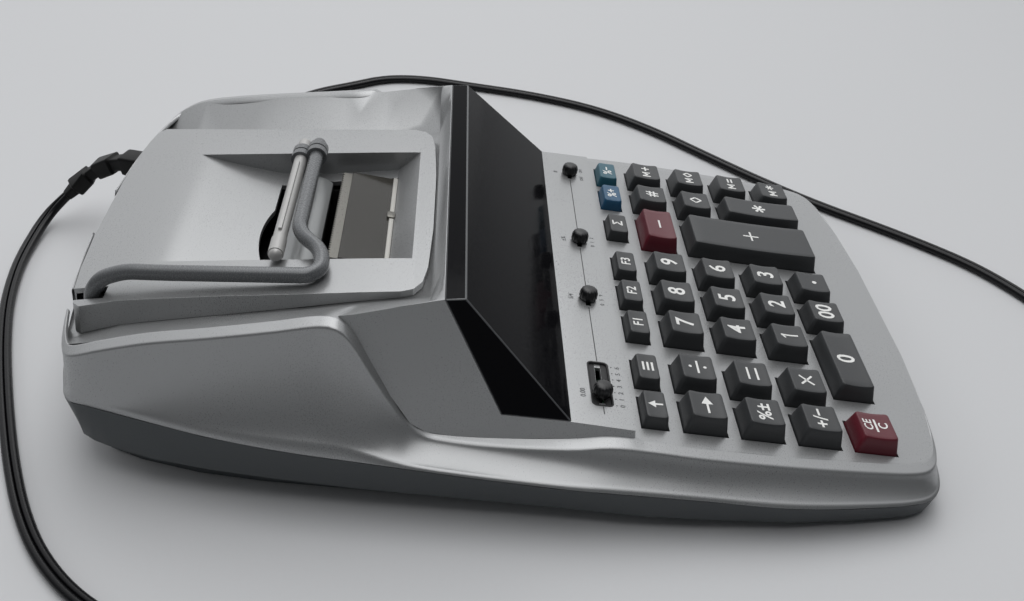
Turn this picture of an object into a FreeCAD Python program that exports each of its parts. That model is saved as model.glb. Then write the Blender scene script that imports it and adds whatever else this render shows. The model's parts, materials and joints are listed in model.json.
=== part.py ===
import FreeCAD, Part
import math
import os
from FreeCAD import Vector

# A desk calculator with a paper-roll printer.
# Millimetres. X to the user's right, Y to the rear, Z up from the table, origin under the middle of the plan.

# Case
case_length = 310.5
wall = 2.2
side_wall = 3.0
deck_tilt = 6.0
deck_anchor_y = -125.94
deck_anchor_z = 18.42
parting_height = 20.1
parting_slope = 0.075
skirt_height = 8.05
skirt_slope = 0.04
fold_width = 4.5
fold_rise = 1.0
side_hollow = 0.38
pan_inset = 8.0
pan_bottom = 1.2

# Display wedge and side panels
panel_lean = 20.2
panel_half_width = 80.4
ridge_rear_y = 61.0
ridge_rear_z = 63.2
display_top_y = 18.25
display_top_z = 70.4
display_foot_y = -18.25
cheek_top_y = 25.05
cheek_top_z = 69.9
cheek_foot_y = 5.15
cheek_foot_z = 34.0
window_wall = 2.0

# Switch strip
strip_rise = 2.7
strip_front_s = 87.2
switch_s = 97.0
knob_diameter = 7.0
knob_height = 4.4
knob_lift = 0.4
stem_width = 3.0
stem_thickness = 1.4
slot_gap = 0.3
long_slot_left = -84.0
long_slot_right = -61.0
long_slot_width = 6.8
decimal_x = -78.3
rounding_x = -21.8
rate_x = 19.4
print_x = 76.4
short_travel = 3.0
switch_body_height = 5.0

# Keys
key_rise = 7.3
front_key_rise = 6.7
small_key_rise = 5.05
key_top_width = 13.7
key_top_depth = 12.1
key_foot_margin_x = 1.0
key_foot_margin_s = 1.65
small_key_depth = 7.4
small_foot_margin_s = 0.9
wide_key_width = 22.4
key_gap = 0.35
key_travel = 3.0
key_wall = 1.5
key_stem_diameter = 3.6
key_corner = 1.2
dish_depth = 0.6
flange_reach = 0.9
flange_thickness = 1.2
flange_gap = 0.3
stem_reach = 0.6
row_pitch = 20.43
rear_row_s = 78.97
lane_a = -82.2
lane_b = -61.8
lane_c = -35.3
lane_d = -14.9
lane_e = 5.6
lane_f = 35.0
lane_g = 60.6
lane_h = 81.0

# Key mat and board
mat_gap = 0.3
mat_thickness = 1.6
board_thickness = 1.6
board_half_width = 88.0
board_front_s = -11.0
board_rear_s = 108.0
mat_rear_s = 86.0
support_radius = 3.0
support_inset = 12.0
support_rows = (10.0, 96.0)
frame_support_inset = 5.0

# Printer cover, paper well and printer
cover_wall = 2.0
cover_seam_gap = 0.4
cover_seat_gap = 0.2
cover_front_y = 30.1
cover_rear_y = 153.4
bay_half_width = 44.5
bay_front_y = 34.5
bay_rear_y = 125.0
bay_low_z = 35.0
bay_high_z = 65.0
well_half_width = 39.5
well_front_y = 36.25
window_front_y = 45.95
window_front_z = 49.3
inlet_front_y = 87.75
inlet_rear_y = 92.75
inlet_floor_z = 45.0
hollow_base_z = 20.0
inlet_left = -27.0
inlet_right = 30.0
notch_left = -26.0
notch_right = 10.0
notch_depth = 2.7
ramp_rear_y = 128.75
ramp_rear_z = 53.2
ramp_sag = 1.2
opening_half_width = 33.0
window_half_width = 31.5
window_thickness = 1.5
tear_y = 66.95
tear_z = 52.2
tear_half_width = 31.8
tear_depth = 3.0
tear_thickness = 0.8
tooth_pitch = 1.6
tooth_height = 0.9
platen_y = 79.75
platen_z = 38.0
platen_radius = 6.5
platen_side_gap = 3.1
dome_radius = 10.5
dome_wall = 1.2
dome_half_span = 7.5
shaft_radius = 2.0
shaft_gap = 0.05
frame_half_width = 34.6
frame_wall = 2.0
frame_front_y = 48.0
frame_rear_y = 108.0
frame_top_z = 42.0
frame_base_z = 6.0
gear_radius = 5.2
gear_width = 3.0
gear_teeth = 20
tooth_depth = 1.2
rail_y = 58.5
rail_z = 33.0
carriage_width = 20.0
carriage_depth = 13.0
carriage_height = 17.0
ink_roll_radius = 2.4
ink_roll_inset = 3.0
ink_roll_rise = 1.4
motor_radius = 9.0
motor_length = 38.0
motor_y = 96.0
transformer_x = 60.0
transformer_y = 100.0
transformer_core = 32.0
transformer_top_z = 36.0
winding_half_width = 11.0
winding_half_depth = 23.0
winding_low_z = 8.4
winding_top_z = 31.0

# Paper arm and roll spindle
arm_radius = 2.75
hinge_y = 143.75
hinge_z = 44.7
hinge_x = -57.2
hinge_pin_radius = 2.0
hinge_pin_half = 4.9
hinge_gap = 0.05
ear_thickness = 1.8
arm_slot_gap = 0.7
ear_side_gap = 0.2
ear_radius = 3.2
leg_x = -54.7
leg_rear_y = 132.5
leg_rear_z = 58.0
leg_front_y = 67.5
leg_front_z = 59.4
crossbar_y = 78.05
crossbar_z = 60.2
crossbar_start_x = -29.0
crossbar_tip_x = 38.0
bulge_x = -40.0
bulge_y = 68.0
spindle_y = 84.35
spindle_z = 58.3
spindle_radius = 2.5
spindle_half_length = 41.0
spindle_fin = 1.0
sleeve_length = 9.0
spindle_fin_length = 50.0
collar_x = 27.5
collar_thickness = 3.2
collar_wall = 1.3
collar_gap = 0.05

# Display tube
tube_width = 126.0
tube_height = 22.0
tube_thickness = 6.0
tube_depth = 2.6
tube_holder_depth = 14.0
tube_holder_margin = 3.0
tube_rise = 4.0
port_margin = 1.0
port_depth = 10.0
port_low_z = 44.0
port_high_z = 58.0

# Feet, screws, boot
foot_radius = 7.0
foot_height = 3.0
foot_recess = 1.0
foot_front_y = -122.0
foot_rear_y = 116.0
foot_x = 76.0
screw_radius = 1.5
screw_head_radius = 3.0
screw_head_height = 2.0
boss_radius = 3.6
lower_boss_radius = 4.6
screw_seat_drop = 4.0
screw_length = 8.5
screw_gap = 0.3
shank_gap = 0.2
screw_front_x = 84.0
screw_front_y = -142.0
screw_rear_x = 80.0
screw_rear_y = 130.0
boot_x = 65.0
boot_z = 31.0
boot_seat_y = 151.5
boot_neck = 8.4
boot_neck_gap = 0.3
boot_flange = 12.0
boot_flange_thickness = 2.0
boot_segment_gap = 2.2
boot_width = 10.5
boot_width_step = 0.9
boot_height = 8.6
boot_height_step = 0.7
boot_link_width = 0.66
boot_link_height = 0.72
boot_link_reach = 1.5

# Mains cord, its put-away coil and the plug
cord_diameter = 5.4
cord_clearance = 0.05
coil_turn_gap = 0.6
coil_layer_gap = 0.7
coil_outer_radius = 33.0
coil_inward_half_turns = 2
coil_lead_in = 6.5
coil_start_x = 167.0
coil_start_y = 117.0
plug_lead = 30.0
plug_length = 26.0
plug_width = 23.0
plug_neck_length = 9.0
plug_neck_radius = 4.4
blade_length = 17.0
blade_width = 6.3
blade_thickness = 1.5
blade_spacing = 12.7
plug_corner = 2.5
plug_neck_taper = 0.8

# Heights and reaches that clear the whole case, for cuts that go right through
drill_low_z = -5.0
drill_high_z = 60.0
cut_low_z = 30.0
cut_high_z = 70.0

os.makedirs("parts", exist_ok=True)

deck_angle = math.radians(deck_tilt)
half_length = case_length / 2.0
rear_wall_y = half_length
front_wall_y = -half_length

# Plan and side curves of the case's right half, from the rear to the front.
# Each point: y, half width, and height where given.
crest_line = [
    (rear_wall_y, 20.0, 46.6), (153.2, 46.0, 46.8), (151.0, 62.0, 47.0), (148.8, 74.0, 47.2),
    (146.4, 83.0, 47.4), (143.5, 88.6, 48.2), (139.0, 90.6, 50.2), (133.75, 91.0, 52.1),
    (118.75, 90.1, 55.2), (98.75, 89.5, 57.9), (78.75, 88.3, 60.5), (63.75, 87.4, 62.6),
    (58.45, 88.5, 62.6), (54.2, 89.6, 59.0), (47.75, 92.0, 48.7), (41.25, 94.0, 38.4),
    (34.65, 96.0, 30.0), (29.5, 97.3, 27.3), (21.45, 98.2, 26.2), (5.15, 99.5, 25.6),
    (-19.25, 100.5, 26.0), (-30.95, 100.6, 27.2), (-45.85, 100.9, 26.3), (-61.85, 101.6, 24.7),
    (-93.85, 100.9, 21.3), (-125.85, 98.8, 17.9), (-136.55, 97.6, 16.8), (-142.5, 95.9, 16.2),
    (-146.5, 92.6, 15.8), (-149.75, 85.5, 15.4), (-153.0, 66.0, 15.1), (front_wall_y, 34.0, 14.8),
]
parting_line = [
    (rear_wall_y, 36.0), (153.2, 62.0), (151.0, 74.0), (148.8, 82.0), (146.4, 88.6), (143.5, 91.0),
    (139.0, 92.0), (126.75, 95.0), (103.75, 101.0), (73.75, 105.8), (49.75, 107.5), (17.75, 110.0),
    (-14.25, 112.0), (-95.25, 112.0), (-117.25, 109.4), (-132.0, 106.6), (-138.5, 105.0), (-142.5, 103.2),
    (-146.5, 99.8), (-149.75, 94.0), (-153.0, 77.0), (front_wall_y, 44.0),
]
skirt_line = [
    (rear_wall_y, 30.0), (153.2, 52.0), (151.0, 66.0), (148.8, 75.0), (146.4, 82.0), (143.5, 87.0),
    (139.0, 90.0), (133.75, 92.2), (115.75, 98.0), (88.75, 102.0), (49.75, 105.3), (17.35, 107.0),
    (-15.75, 108.8), (-42.0, 110.5), (-70.0, 110.5), (-98.25, 109.5), (-120.75, 106.4), (-138.5, 103.4),
    (-142.5, 101.4), (-146.5, 97.6), (-149.75, 91.0), (-153.0, 73.0), (front_wall_y, 41.0),
]

# The valley that the printer cover lies in.
# Each point: y, half width and height of its seam, half width and height of its ridge.
valley_line = [
    (29.75, 60.0, 56.2, 80.4, 68.9), (53.45, 61.0, 53.3, 82.8, 64.4), (71.75, 62.0, 50.6, 84.4, 62.4),
    (100.75, 64.0, 47.4, 85.4, 58.4), (132.75, 66.0, 43.5, 86.6, 53.2), (151.75, 68.0, 38.5, 84.0, 47.4),
    (160.0, 68.6, 37.0, 78.0, 44.0),
]

# The printer cover: y, half width and height of its top edge, half width and height of its seam.
cover_line = [
    (cover_front_y, 20.0, 58.3, 20.6, 56.3), (31.2, 45.0, 58.3, 45.8, 56.0), (32.75, 54.0, 58.2, 55.0, 55.75),
    (35.75, 58.2, 58.0, 59.0, 55.4), (40.0, 59.8, 57.9, 60.0, 54.9), (53.45, 60.1, 57.1, 60.6, 53.3),
    (78.75, 60.8, 55.4, 62.0, 49.85), (98.75, 61.2, 54.1, 63.5, 47.6), (118.75, 62.0, 52.7, 64.7, 45.2),
    (133.75, 62.7, 51.6, 65.7, 43.25), (146.0, 64.6, 50.0, 67.0, 40.1), (148.6, 62.0, 49.6, 64.6, 39.4),
    (150.6, 54.0, 49.3, 57.0, 38.8), (152.2, 41.0, 49.0, 44.0, 38.4), (cover_rear_y, 20.0, 48.8, 23.0, 38.2),
]

# The cord's route from the boot: along the case's left side, round its front and along its right to the coil.
cord_route = [
    (68.5, 195.0, 12.5), (65.77, 200.8, 7.38), (58.5, 204.0, 4.2), (48.5, 205.0, 2.9), (36.0, 205.3, 2.75),
    (21.0, 204.0, 2.75), (-1.0, 200.0, 2.75), (-25.0, 193.0, 2.75), (-49.0, 184.6, 2.75), (-70.0, 176.6, 2.75),
    (-91.0, 168.0, 2.75), (-112.0, 158.0, 2.75), (-130.0, 146.6, 2.75), (-146.0, 131.0, 2.75),
    (-157.0, 112.0, 2.75), (-164.0, 88.0, 2.75), (-168.0, 58.0, 2.75), (-169.0, 22.0, 2.75),
    (-167.0, -16.0, 2.75), (-164.0, -54.0, 2.75), (-162.0, -92.0, 2.75), (-157.0, -128.0, 2.75),
    (-146.0, -162.0, 2.75), (-127.0, -190.0, 2.75), (-100.0, -212.0, 2.75), (-66.0, -229.0, 2.75),
    (-30.0, -241.0, 2.75), (0.0, -246.0, 2.75), (20.0, -244.5, 2.75), (37.0, -237.0, 2.75),
    (58.0, -223.0, 2.75), (75.0, -205.0, 2.75), (92.0, -184.0, 2.75), (110.0, -160.0, 2.75),
    (132.0, -136.0, 2.75), (158.0, -111.0, 2.75), (185.0, -86.0, 2.75), (208.0, -56.0, 2.75),
    (222.0, -20.0, 2.75), (229.5, 14.0, 2.75), (236.0, 42.0, 2.75), (234.0, 64.0, 2.75), (222.0, 82.0, 2.75),
    (212.0, 99.0, 2.75), (199.0, 112.0, 2.75), (184.0, 118.5, 2.75),
]


def along(line, y):
    """Values of a curve at y, straight between its points."""
    for ahead, behind in zip(line, line[1:]):
        if ahead[0] >= y >= behind[0] or ahead[0] <= y <= behind[0]:
            share = (y - ahead[0]) / (behind[0] - ahead[0])
            return [a + share * (b - a) for a, b in zip(ahead[1:], behind[1:])]
    nearest = min(line, key=lambda point: abs(point[0] - y))
    return list(nearest[1:])


def deck_z(y):
    return deck_anchor_z + (y - deck_anchor_y) * math.tan(deck_angle)


def parting_z(y):
    return parting_height + parting_slope * y


def skirt_z(y):
    return skirt_height + skirt_slope * y


def fold(y):
    """Half width and height of the inner edge of the bright fold at the top of the side."""
    crest_w, crest_z = along(crest_line, y)
    top = crest_z + fold_rise
    if y < -40.0:
        top = deck_z(y)
    return crest_w - fold_width, top


def mirrored(half):
    """A closed outline from its right half, listed from the bottom up."""
    return half + [(-x, z) for x, z in reversed(half)]


def loft_along_y(stations, outline):
    wires = []
    for y in stations:
        corners = [Vector(x, y, z) for x, z in outline(y)]
        wires.append(Part.makePolygon(corners + corners[:1]))
    return Part.makeLoft(wires, True, True)


def prism_x(outline, x0, x1):
    corners = [Vector(x0, y, z) for y, z in outline]
    face = Part.Face(Part.makePolygon(corners + corners[:1]))
    return face.extrude(Vector(x1 - x0, 0, 0))


def prism_z(outline, z0, z1):
    corners = [Vector(x, y, z0) for x, y in outline]
    face = Part.Face(Part.makePolygon(corners + corners[:1]))
    return face.extrude(Vector(0, 0, z1 - z0))


def block(x0, x1, y0, y1, z0, z1):
    return Part.makeBox(x1 - x0, y1 - y0, z1 - z0, Vector(x0, y0, z0))


def rod_x(radius, x0, x1, y, z):
    return Part.makeCylinder(radius, x1 - x0, Vector(x0, y, z), Vector(1, 0, 0))


def post(radius, x, y, z0, z1):
    return Part.makeCylinder(radius, z1 - z0, Vector(x, y, z0), Vector(0, 0, 1))


def fused(shapes):
    whole = shapes[0]
    if len(shapes) > 1:
        whole = whole.fuse(shapes[1:])
    return whole.removeSplitter()


def save(shapes, node):
    if not isinstance(shapes, list):
        shapes = [shapes]
    shape = shapes[0] if len(shapes) == 1 else Part.makeCompound(shapes)
    shape.exportStep("parts/" + node + ".step")
    solids = shape.Solids
    volume = sum(solid.Volume for solid in solids)
    print("%-22s solids %2d  faces %4d  volume %10.1f  valid %s" % (
        node, len(solids), len(shape.Faces), volume, shape.isValid()))


def on_deck(shape):
    """Moves a shape drawn with X across, Y up the slope and Z out of the deck to its place on the case."""
    placed = shape.copy()
    placed.rotate(Vector(0, 0, 0), Vector(1, 0, 0), deck_tilt)
    placed.translate(Vector(0, deck_anchor_y, deck_anchor_z))
    return placed


def rounded_rectangle(width, depth, corner, x, s, n):
    half_w = width / 2.0
    half_d = depth / 2.0
    cut = corner * (1.0 - math.sqrt(0.5))
    edges = []
    for turn in range(4):
        signs = [(1, 1), (-1, 1), (-1, -1), (1, -1)]
        sx, sy = signs[turn]
        nx, ny = signs[(turn + 1) % 4]
        if turn % 2 == 0:
            start = (sx * half_w, sy * (half_d - corner))
            middle = (sx * (half_w - cut), sy * (half_d - cut))
            end = (sx * (half_w - corner), sy * half_d)
            onward = (nx * (half_w - corner), ny * half_d)
        else:
            start = (sx * (half_w - corner), sy * half_d)
            middle = (sx * (half_w - cut), sy * (half_d - cut))
            end = (sx * half_w, sy * (half_d - corner))
            onward = (nx * half_w, ny * (half_d - corner))
        points = [Vector(x + a, s + b, n) for a, b in (start, middle, end, onward)]
        edges.append(Part.Arc(points[0], points[1], points[2]).toShape())
        edges.append(Part.LineSegment(points[2], points[3]).toShape())
    return Part.Wire(edges)


def smooth_path(points, label):
    """Straight runs joined by tangent arcs, each as large as its two runs allow."""
    corners = [Vector(*point) for point in points]
    edges = []
    radii = []
    start = corners[0]
    for before, corner, after in zip(corners, corners[1:], corners[2:]):
        arriving = corner - before
        leaving = after - corner
        shorter = min(arriving.Length, leaving.Length)
        turn = arriving.getAngle(leaving)
        reach = 0.45 * shorter
        radii.append(reach / math.tan(turn / 2.0))
        arriving.normalize()
        leaving.normalize()
        first = corner - arriving * reach
        last = corner + leaving * reach
        towards = leaving - arriving
        towards.normalize()
        middle = corner + towards * (radii[-1] / math.cos(turn / 2.0) - radii[-1])
        edges.append(Part.LineSegment(start, first).toShape())
        edges.append(Part.Arc(first, middle, last).toShape())
        start = last
    edges.append(Part.LineSegment(start, corners[-1]).toShape())
    print("%s arc radii, least %.1f: %s" % (label, min(radii), ", ".join("%.0f" % r for r in radii)))
    return Part.Wire(edges)


def tube_along(path, radius):
    first = path.OrderedEdges[0]
    start = first.valueAt(first.FirstParameter)
    direction = first.tangentAt(first.FirstParameter)
    ring = Part.Wire(Part.makeCircle(radius, start, direction))
    return path.makePipeShell([ring], True, False)


# Sections of the case

def outer_outline(y):
    half = [
        (along(skirt_line, y)[0], skirt_z(y)),
        (along(parting_line, y)[0], parting_z(y)),
    ]
    crest_w, crest_z = along(crest_line, y)
    part_w, part_z = half[1]
    half.append((crest_w + side_hollow * (part_w - crest_w), part_z + side_hollow * (crest_z - part_z)))
    half.append((crest_w, crest_z))
    half.append(fold(y))
    return mirrored(half)


def inner_outline(y):
    half = [
        (along(skirt_line, y)[0] - side_wall, skirt_z(y) + wall),
        (along(parting_line, y)[0] - side_wall, parting_z(y)),
    ]
    crest_w, crest_z = along(crest_line, y)
    part_w = along(parting_line, y)[0]
    half.append((
        crest_w + side_hollow * (part_w - crest_w) - side_wall,
        parting_z(y) + side_hollow * (crest_z - parting_z(y)),
    ))
    fold_w, fold_z = fold(y)
    under_deck = fold_z - wall / math.cos(deck_angle)
    half.append((crest_w - side_wall, min(crest_z - wall, under_deck)))
    half.append((fold_w - side_wall / 2.0, under_deck))
    return mirrored(half)


case_stations = sorted(set(
    [point[0] for point in crest_line] + [17.75, -14.25, -39.99, -40.01, -117.25]))
inner_stations = [
    front_wall_y + wall, -149.75, -146.5, -138.5, -125.85, -93.85, -40.01, -39.99, -19.25, 5.15, 29.5, 34.65,
    47.75, 54.2, 58.45, 63.75, 98.75, 133.75, 143.5, 148.8, rear_wall_y - wall,
]

hull = loft_along_y(case_stations, outer_outline)
hull_inside = loft_along_y(inner_stations, inner_outline)

# The half space above the parting surface, and the one below it, as thick wedges.
reach_y = case_length
above_parting = prism_x(
    [(-reach_y, parting_z(-reach_y)), (reach_y, parting_z(reach_y)), (reach_y, 200.0), (-reach_y, 200.0)],
    -200.0, 200.0)
below_parting = prism_x(
    [(-reach_y, parting_z(-reach_y)), (-reach_y, -80.0), (reach_y, -80.0), (reach_y, parting_z(reach_y))],
    -200.0, 200.0)


def between_panels(shape, inset):
    """Trims a prism to the two leaning side panels, each moved inwards by the inset."""
    lean = math.tan(math.radians(panel_lean))
    shift = inset / math.cos(math.radians(panel_lean))
    low, high = -20.0, 120.0
    low_w = panel_half_width + (cheek_top_z - low) * lean - shift
    high_w = panel_half_width + (cheek_top_z - high) * lean - shift
    corners = [Vector(-low_w, -200, low), Vector(low_w, -200, low), Vector(high_w, -200, high),
               Vector(-high_w, -200, high)]
    keep = Part.Face(Part.makePolygon(corners + corners[:1])).extrude(Vector(0, 400, 0))
    return shape.common(keep)


strip_front_y = deck_anchor_y + strip_front_s * math.cos(deck_angle) - strip_rise * math.sin(deck_angle)
strip_front_z = deck_z(strip_front_y) + strip_rise / math.cos(deck_angle)
strip_rear_z = deck_z(display_foot_y) + strip_rise / math.cos(deck_angle)
cheek_line = [(cheek_top_y, cheek_top_z), (cheek_foot_y, cheek_foot_z), (display_foot_y, strip_rear_z)]
hump_floor_z = 14.0

hump = between_panels(prism_x(
    [(ridge_rear_y, hump_floor_z), (ridge_rear_y, ridge_rear_z)] + cheek_line
    + [(strip_front_y, strip_front_z), (strip_front_y, hump_floor_z)], -120.0, 120.0), 0.0)


def offset_inwards(line, distance):
    """Moves an open line of points sideways to its left by a distance, with mitred corners."""
    moved = []
    for index, point in enumerate(line):
        normals = []
        for a, b in ((index - 1, index), (index, index + 1)):
            if 0 <= a and b < len(line):
                dy, dz = line[b][0] - line[a][0], line[b][1] - line[a][1]
                size = math.hypot(dy, dz)
                normals.append((-dz / size, dy / size))
        ny = sum(normal[0] for normal in normals)
        nz = sum(normal[1] for normal in normals)
        scale = distance / (ny * normals[0][0] + nz * normals[0][1])
        moved.append((point[0] + ny * scale, point[1] + nz * scale))
    return moved


ridge_inside = offset_inwards(
    [(ridge_rear_y + 4.0, ridge_rear_z - 0.6)] + cheek_line
    + [(strip_front_y, strip_front_z), (strip_front_y, hump_floor_z)], wall)
hump_inside = between_panels(prism_x(
    [(ridge_rear_y + 4.0, hump_floor_z + wall)] + ridge_inside[:-1]
    + [(ridge_inside[-1][0], hump_floor_z + wall)], -120.0, 120.0), wall)


def valley_outline(extra):
    """Cross-section of the valley, grown downwards by a wall thickness."""
    def outline(y):
        seam_w, seam_z, ridge_w, ridge_z = along(valley_line, y)
        drop = extra * 1.15
        return mirrored([(seam_w, seam_z - extra), (ridge_w, ridge_z - drop), (ridge_w, 100.0)])
    return outline


def valley(extra):
    stations = [point[0] for point in valley_line]
    main = loft_along_y(stations, valley_outline(extra))
    first = along(valley_line, stations[0])
    front_y = cheek_top_y + 0.2 - extra
    near = Part.makePolygon([Vector(x, stations[0], z) for x, z in mirrored(
        [(first[0], first[1] - extra), (first[2], first[3] - extra * 1.15), (first[2], 100.0)])]
        + [Vector(first[0], stations[0], first[1] - extra)])
    top_z = cheek_top_z + 0.1
    far = Part.makePolygon([Vector(x, front_y, z) for x, z in mirrored(
        [(first[0], top_z - extra), (first[2], top_z - extra), (first[2], 100.0)])]
        + [Vector(first[0], front_y, top_z - extra)])
    return main.fuse(Part.makeLoft([far, near], True, True))


# Keys: node, lane, place up the slope, top width, top depth, rise, margins of the foot.

def key_rows():
    front, fourth, third, second = [row_pitch * count for count in range(4)]
    plain = (key_top_width, key_top_depth, key_rise, key_foot_margin_s)
    low = (key_top_width, key_top_depth, front_key_rise, key_foot_margin_s)
    small = (key_top_width, small_key_depth, small_key_rise, small_foot_margin_s)
    wide = (wide_key_width, key_top_depth, key_rise, key_foot_margin_s)
    tall_plus = (wide_key_width, key_top_depth + 2 * row_pitch, key_rise, key_foot_margin_s)
    tall_star = (key_top_width, key_top_depth + row_pitch, key_rise, key_foot_margin_s)
    zero_width = key_top_width + lane_c - lane_b - 7.3
    zero_x = lane_c + (key_top_width - zero_width) / 2.0
    zero = (zero_width, key_top_depth, front_key_rise, key_foot_margin_s)
    keys = []
    for name, lane in (("feed", lane_a), ("receipt", lane_b), ("cost", lane_c), ("sell", lane_d),
                       ("margin", lane_e), ("grand_total", lane_f), ("tax_plus", lane_g), ("tax_minus", lane_h)):
        keys.append(("key_" + name, lane, rear_row_s) + small)
    for s, names in (
            (second, ("arrow", "divide", "7", "8", "9", None, "subtotal", "memory_plus")),
            (third, ("percent", "equals", "4", "5", "6", None, "total", "memory_diamond")),
            (fourth, ("sign", "times", "1", "2", "3", None, None, "memory_equals"))):
        lanes = (lane_a, lane_b, lane_c, lane_d, lane_e, lane_f, lane_g, lane_h)
        for name, lane in zip(names, lanes):
            if name:
                keys.append(("key_" + name, lane, s) + plain)
    for name, lane in (("clear", lane_a), ("double_zero", lane_d), ("point", lane_e), ("memory_star", lane_h)):
        keys.append(("key_" + name, lane, front) + low)
    keys.append(("key_0", zero_x, front) + zero)
    keys.append(("key_minus", lane_f, second) + wide)
    keys.append(("key_plus", lane_f, fourth) + tall_plus)
    keys.append(("key_star", lane_g, (front + fourth) / 2.0) + tall_star)
    return keys


keys = key_rows()
flange_top = -wall - flange_gap
flange_bottom = flange_top - flange_thickness
stem_bottom = flange_bottom - stem_reach
mat_top = stem_bottom - key_travel - mat_gap
board_top = mat_top - mat_thickness
board_bottom = board_top - board_thickness


def make_key(x, s, top_w, top_d, rise, margin_s):
    foot_w = top_w + 2 * key_foot_margin_x
    foot_d = top_d + 2 * margin_s
    foot = rounded_rectangle(foot_w, foot_d, key_corner, x, s, 0.0)
    top = rounded_rectangle(top_w, top_d, key_corner, x, s, rise)
    cap = Part.makeLoft([foot, top], True, True)
    skirt = Part.Face(foot).extrude(Vector(0, 0, flange_bottom))
    flange_w = foot_w + 2 * flange_reach
    flange = block(x - flange_w / 2, x + flange_w / 2, s - foot_d / 4, s + foot_d / 4,
                   flange_bottom, flange_top)
    body = cap.fuse([skirt, flange])
    dish_radius = (key_top_depth / 2.0) ** 2 / (2 * dish_depth)
    if top_d > key_top_depth:
        dish_radius = (top_d / 2.0) ** 2 / (2 * dish_depth)
    dish = rod_x(dish_radius, x - top_w, x + top_w, s, rise + dish_radius - dish_depth)
    inside_w = top_w - 2 * key_wall
    inside_d = top_d - 2 * key_wall
    ceiling = rise - dish_depth - key_wall
    hollow = block(x - inside_w / 2, x + inside_w / 2, s - inside_d / 2, s + inside_d / 2,
                   flange_bottom - 1.0, ceiling)
    stem = post(key_stem_diameter / 2, x, s, stem_bottom, ceiling)
    return body.cut([dish, hollow]).fuse(stem).removeSplitter()


def key_holes():
    holes = []
    for name, x, s, top_w, top_d, rise, margin_s in keys:
        half_w = top_w / 2 + key_foot_margin_x + key_gap
        half_d = top_d / 2 + margin_s + key_gap
        holes.append(block(x - half_w, x + half_w, s - half_d, s + half_d, -wall - 1.5, 1.0))
    return [on_deck(hole) for hole in holes]


# Switches: node, rest x, travel to each side.
switches = [
    ("decimal_knob", decimal_x, decimal_x - long_slot_left - knob_diameter / 2 - slot_gap,
     long_slot_right - decimal_x - knob_diameter / 2 - slot_gap),
    ("rounding_knob", rounding_x, short_travel, short_travel),
    ("rate_knob", rate_x, short_travel, short_travel),
    ("print_knob", print_x, short_travel, short_travel),
]
strip_under = strip_rise - wall


def switch_slots():
    slots = []
    for name, x, left, right in switches:
        half = stem_thickness / 2 + slot_gap
        x0 = x - left - stem_width / 2 - slot_gap
        x1 = x + right + stem_width / 2 + slot_gap
        slots.append(block(x0, x1, switch_s - half, switch_s + half, strip_under - 1.0, strip_rise + 1.0))
    half = long_slot_width / 2
    slots.append(block(long_slot_left, long_slot_right, switch_s - half, switch_s + half,
                       strip_rise - 0.8, strip_rise + 1.0))
    return [on_deck(slot) for slot in slots]


def make_knob(x):
    radius = knob_diameter / 2
    base = strip_rise + knob_lift
    dome = post(radius, x, switch_s, base, base + knob_height)
    dome = dome.makeFillet(radius * 0.55, [edge for edge in dome.Edges if edge.BoundBox.ZMin > base + 1.0])
    stem = block(x - stem_width / 2, x + stem_width / 2, switch_s - stem_thickness / 2,
                 switch_s + stem_thickness / 2, board_top + switch_body_height + slot_gap, base + 0.5)
    foot_z = strip_under - slot_gap
    foot = block(x - stem_width / 2, x + stem_width / 2, switch_s - knob_diameter / 2,
                 switch_s + knob_diameter / 2, foot_z - 1.2, foot_z)
    return on_deck(fused([dome, stem, foot]))


# Screws

screw_places = [(-screw_front_x, screw_front_y), (screw_front_x, screw_front_y),
                (-screw_rear_x, screw_rear_y), (screw_rear_x, screw_rear_y)]
foot_places = [(-foot_x, foot_front_y), (foot_x, foot_front_y), (-foot_x, foot_rear_y), (foot_x, foot_rear_y)]
pan_floor_z = pan_bottom + wall


def screw_seat_z(y):
    return parting_z(y) - screw_seat_drop


def valley_height(x, y):
    """Height of the valley's sloping side at a point between its seam and its ridge."""
    seam_w, seam_z, ridge_w, ridge_z = along(valley_line, y)
    share = (abs(x) - seam_w) / (ridge_w - seam_w)
    return seam_z + share * (ridge_z - seam_z)


def make_screw(x, y):
    seat = screw_seat_z(y)
    head = post(screw_head_radius, x, y, seat - screw_head_height, seat)
    shank = post(screw_radius, x, y, seat, seat + screw_length)
    return fused([head, shank])


# Upper case

def hinge_ears():
    lugs = []
    for side in (-1, 1):
        inner = hinge_x + side * (arm_radius + ear_side_gap)
        outer = inner + side * ear_thickness
        x0, x1 = min(inner, outer), max(inner, outer)
        seat = along(valley_line, hinge_y)[1] - wall / 2
        lug = block(x0, x1, hinge_y - ear_radius, hinge_y + ear_radius, seat, hinge_z)
        lug = lug.fuse(rod_x(ear_radius, x0, x1, hinge_y, hinge_z))
        lugs.append(lug.cut(rod_x(hinge_pin_radius + hinge_gap, x0 - 1, x1 + 1, hinge_y, hinge_z)))
    return lugs


def boot_hole():
    half = boot_neck / 2 + boot_neck_gap
    return block(boot_x - half, boot_x + half, boot_seat_y - 6.5, boot_seat_y + 6.0,
                 boot_z - half, boot_z + half)


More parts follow.
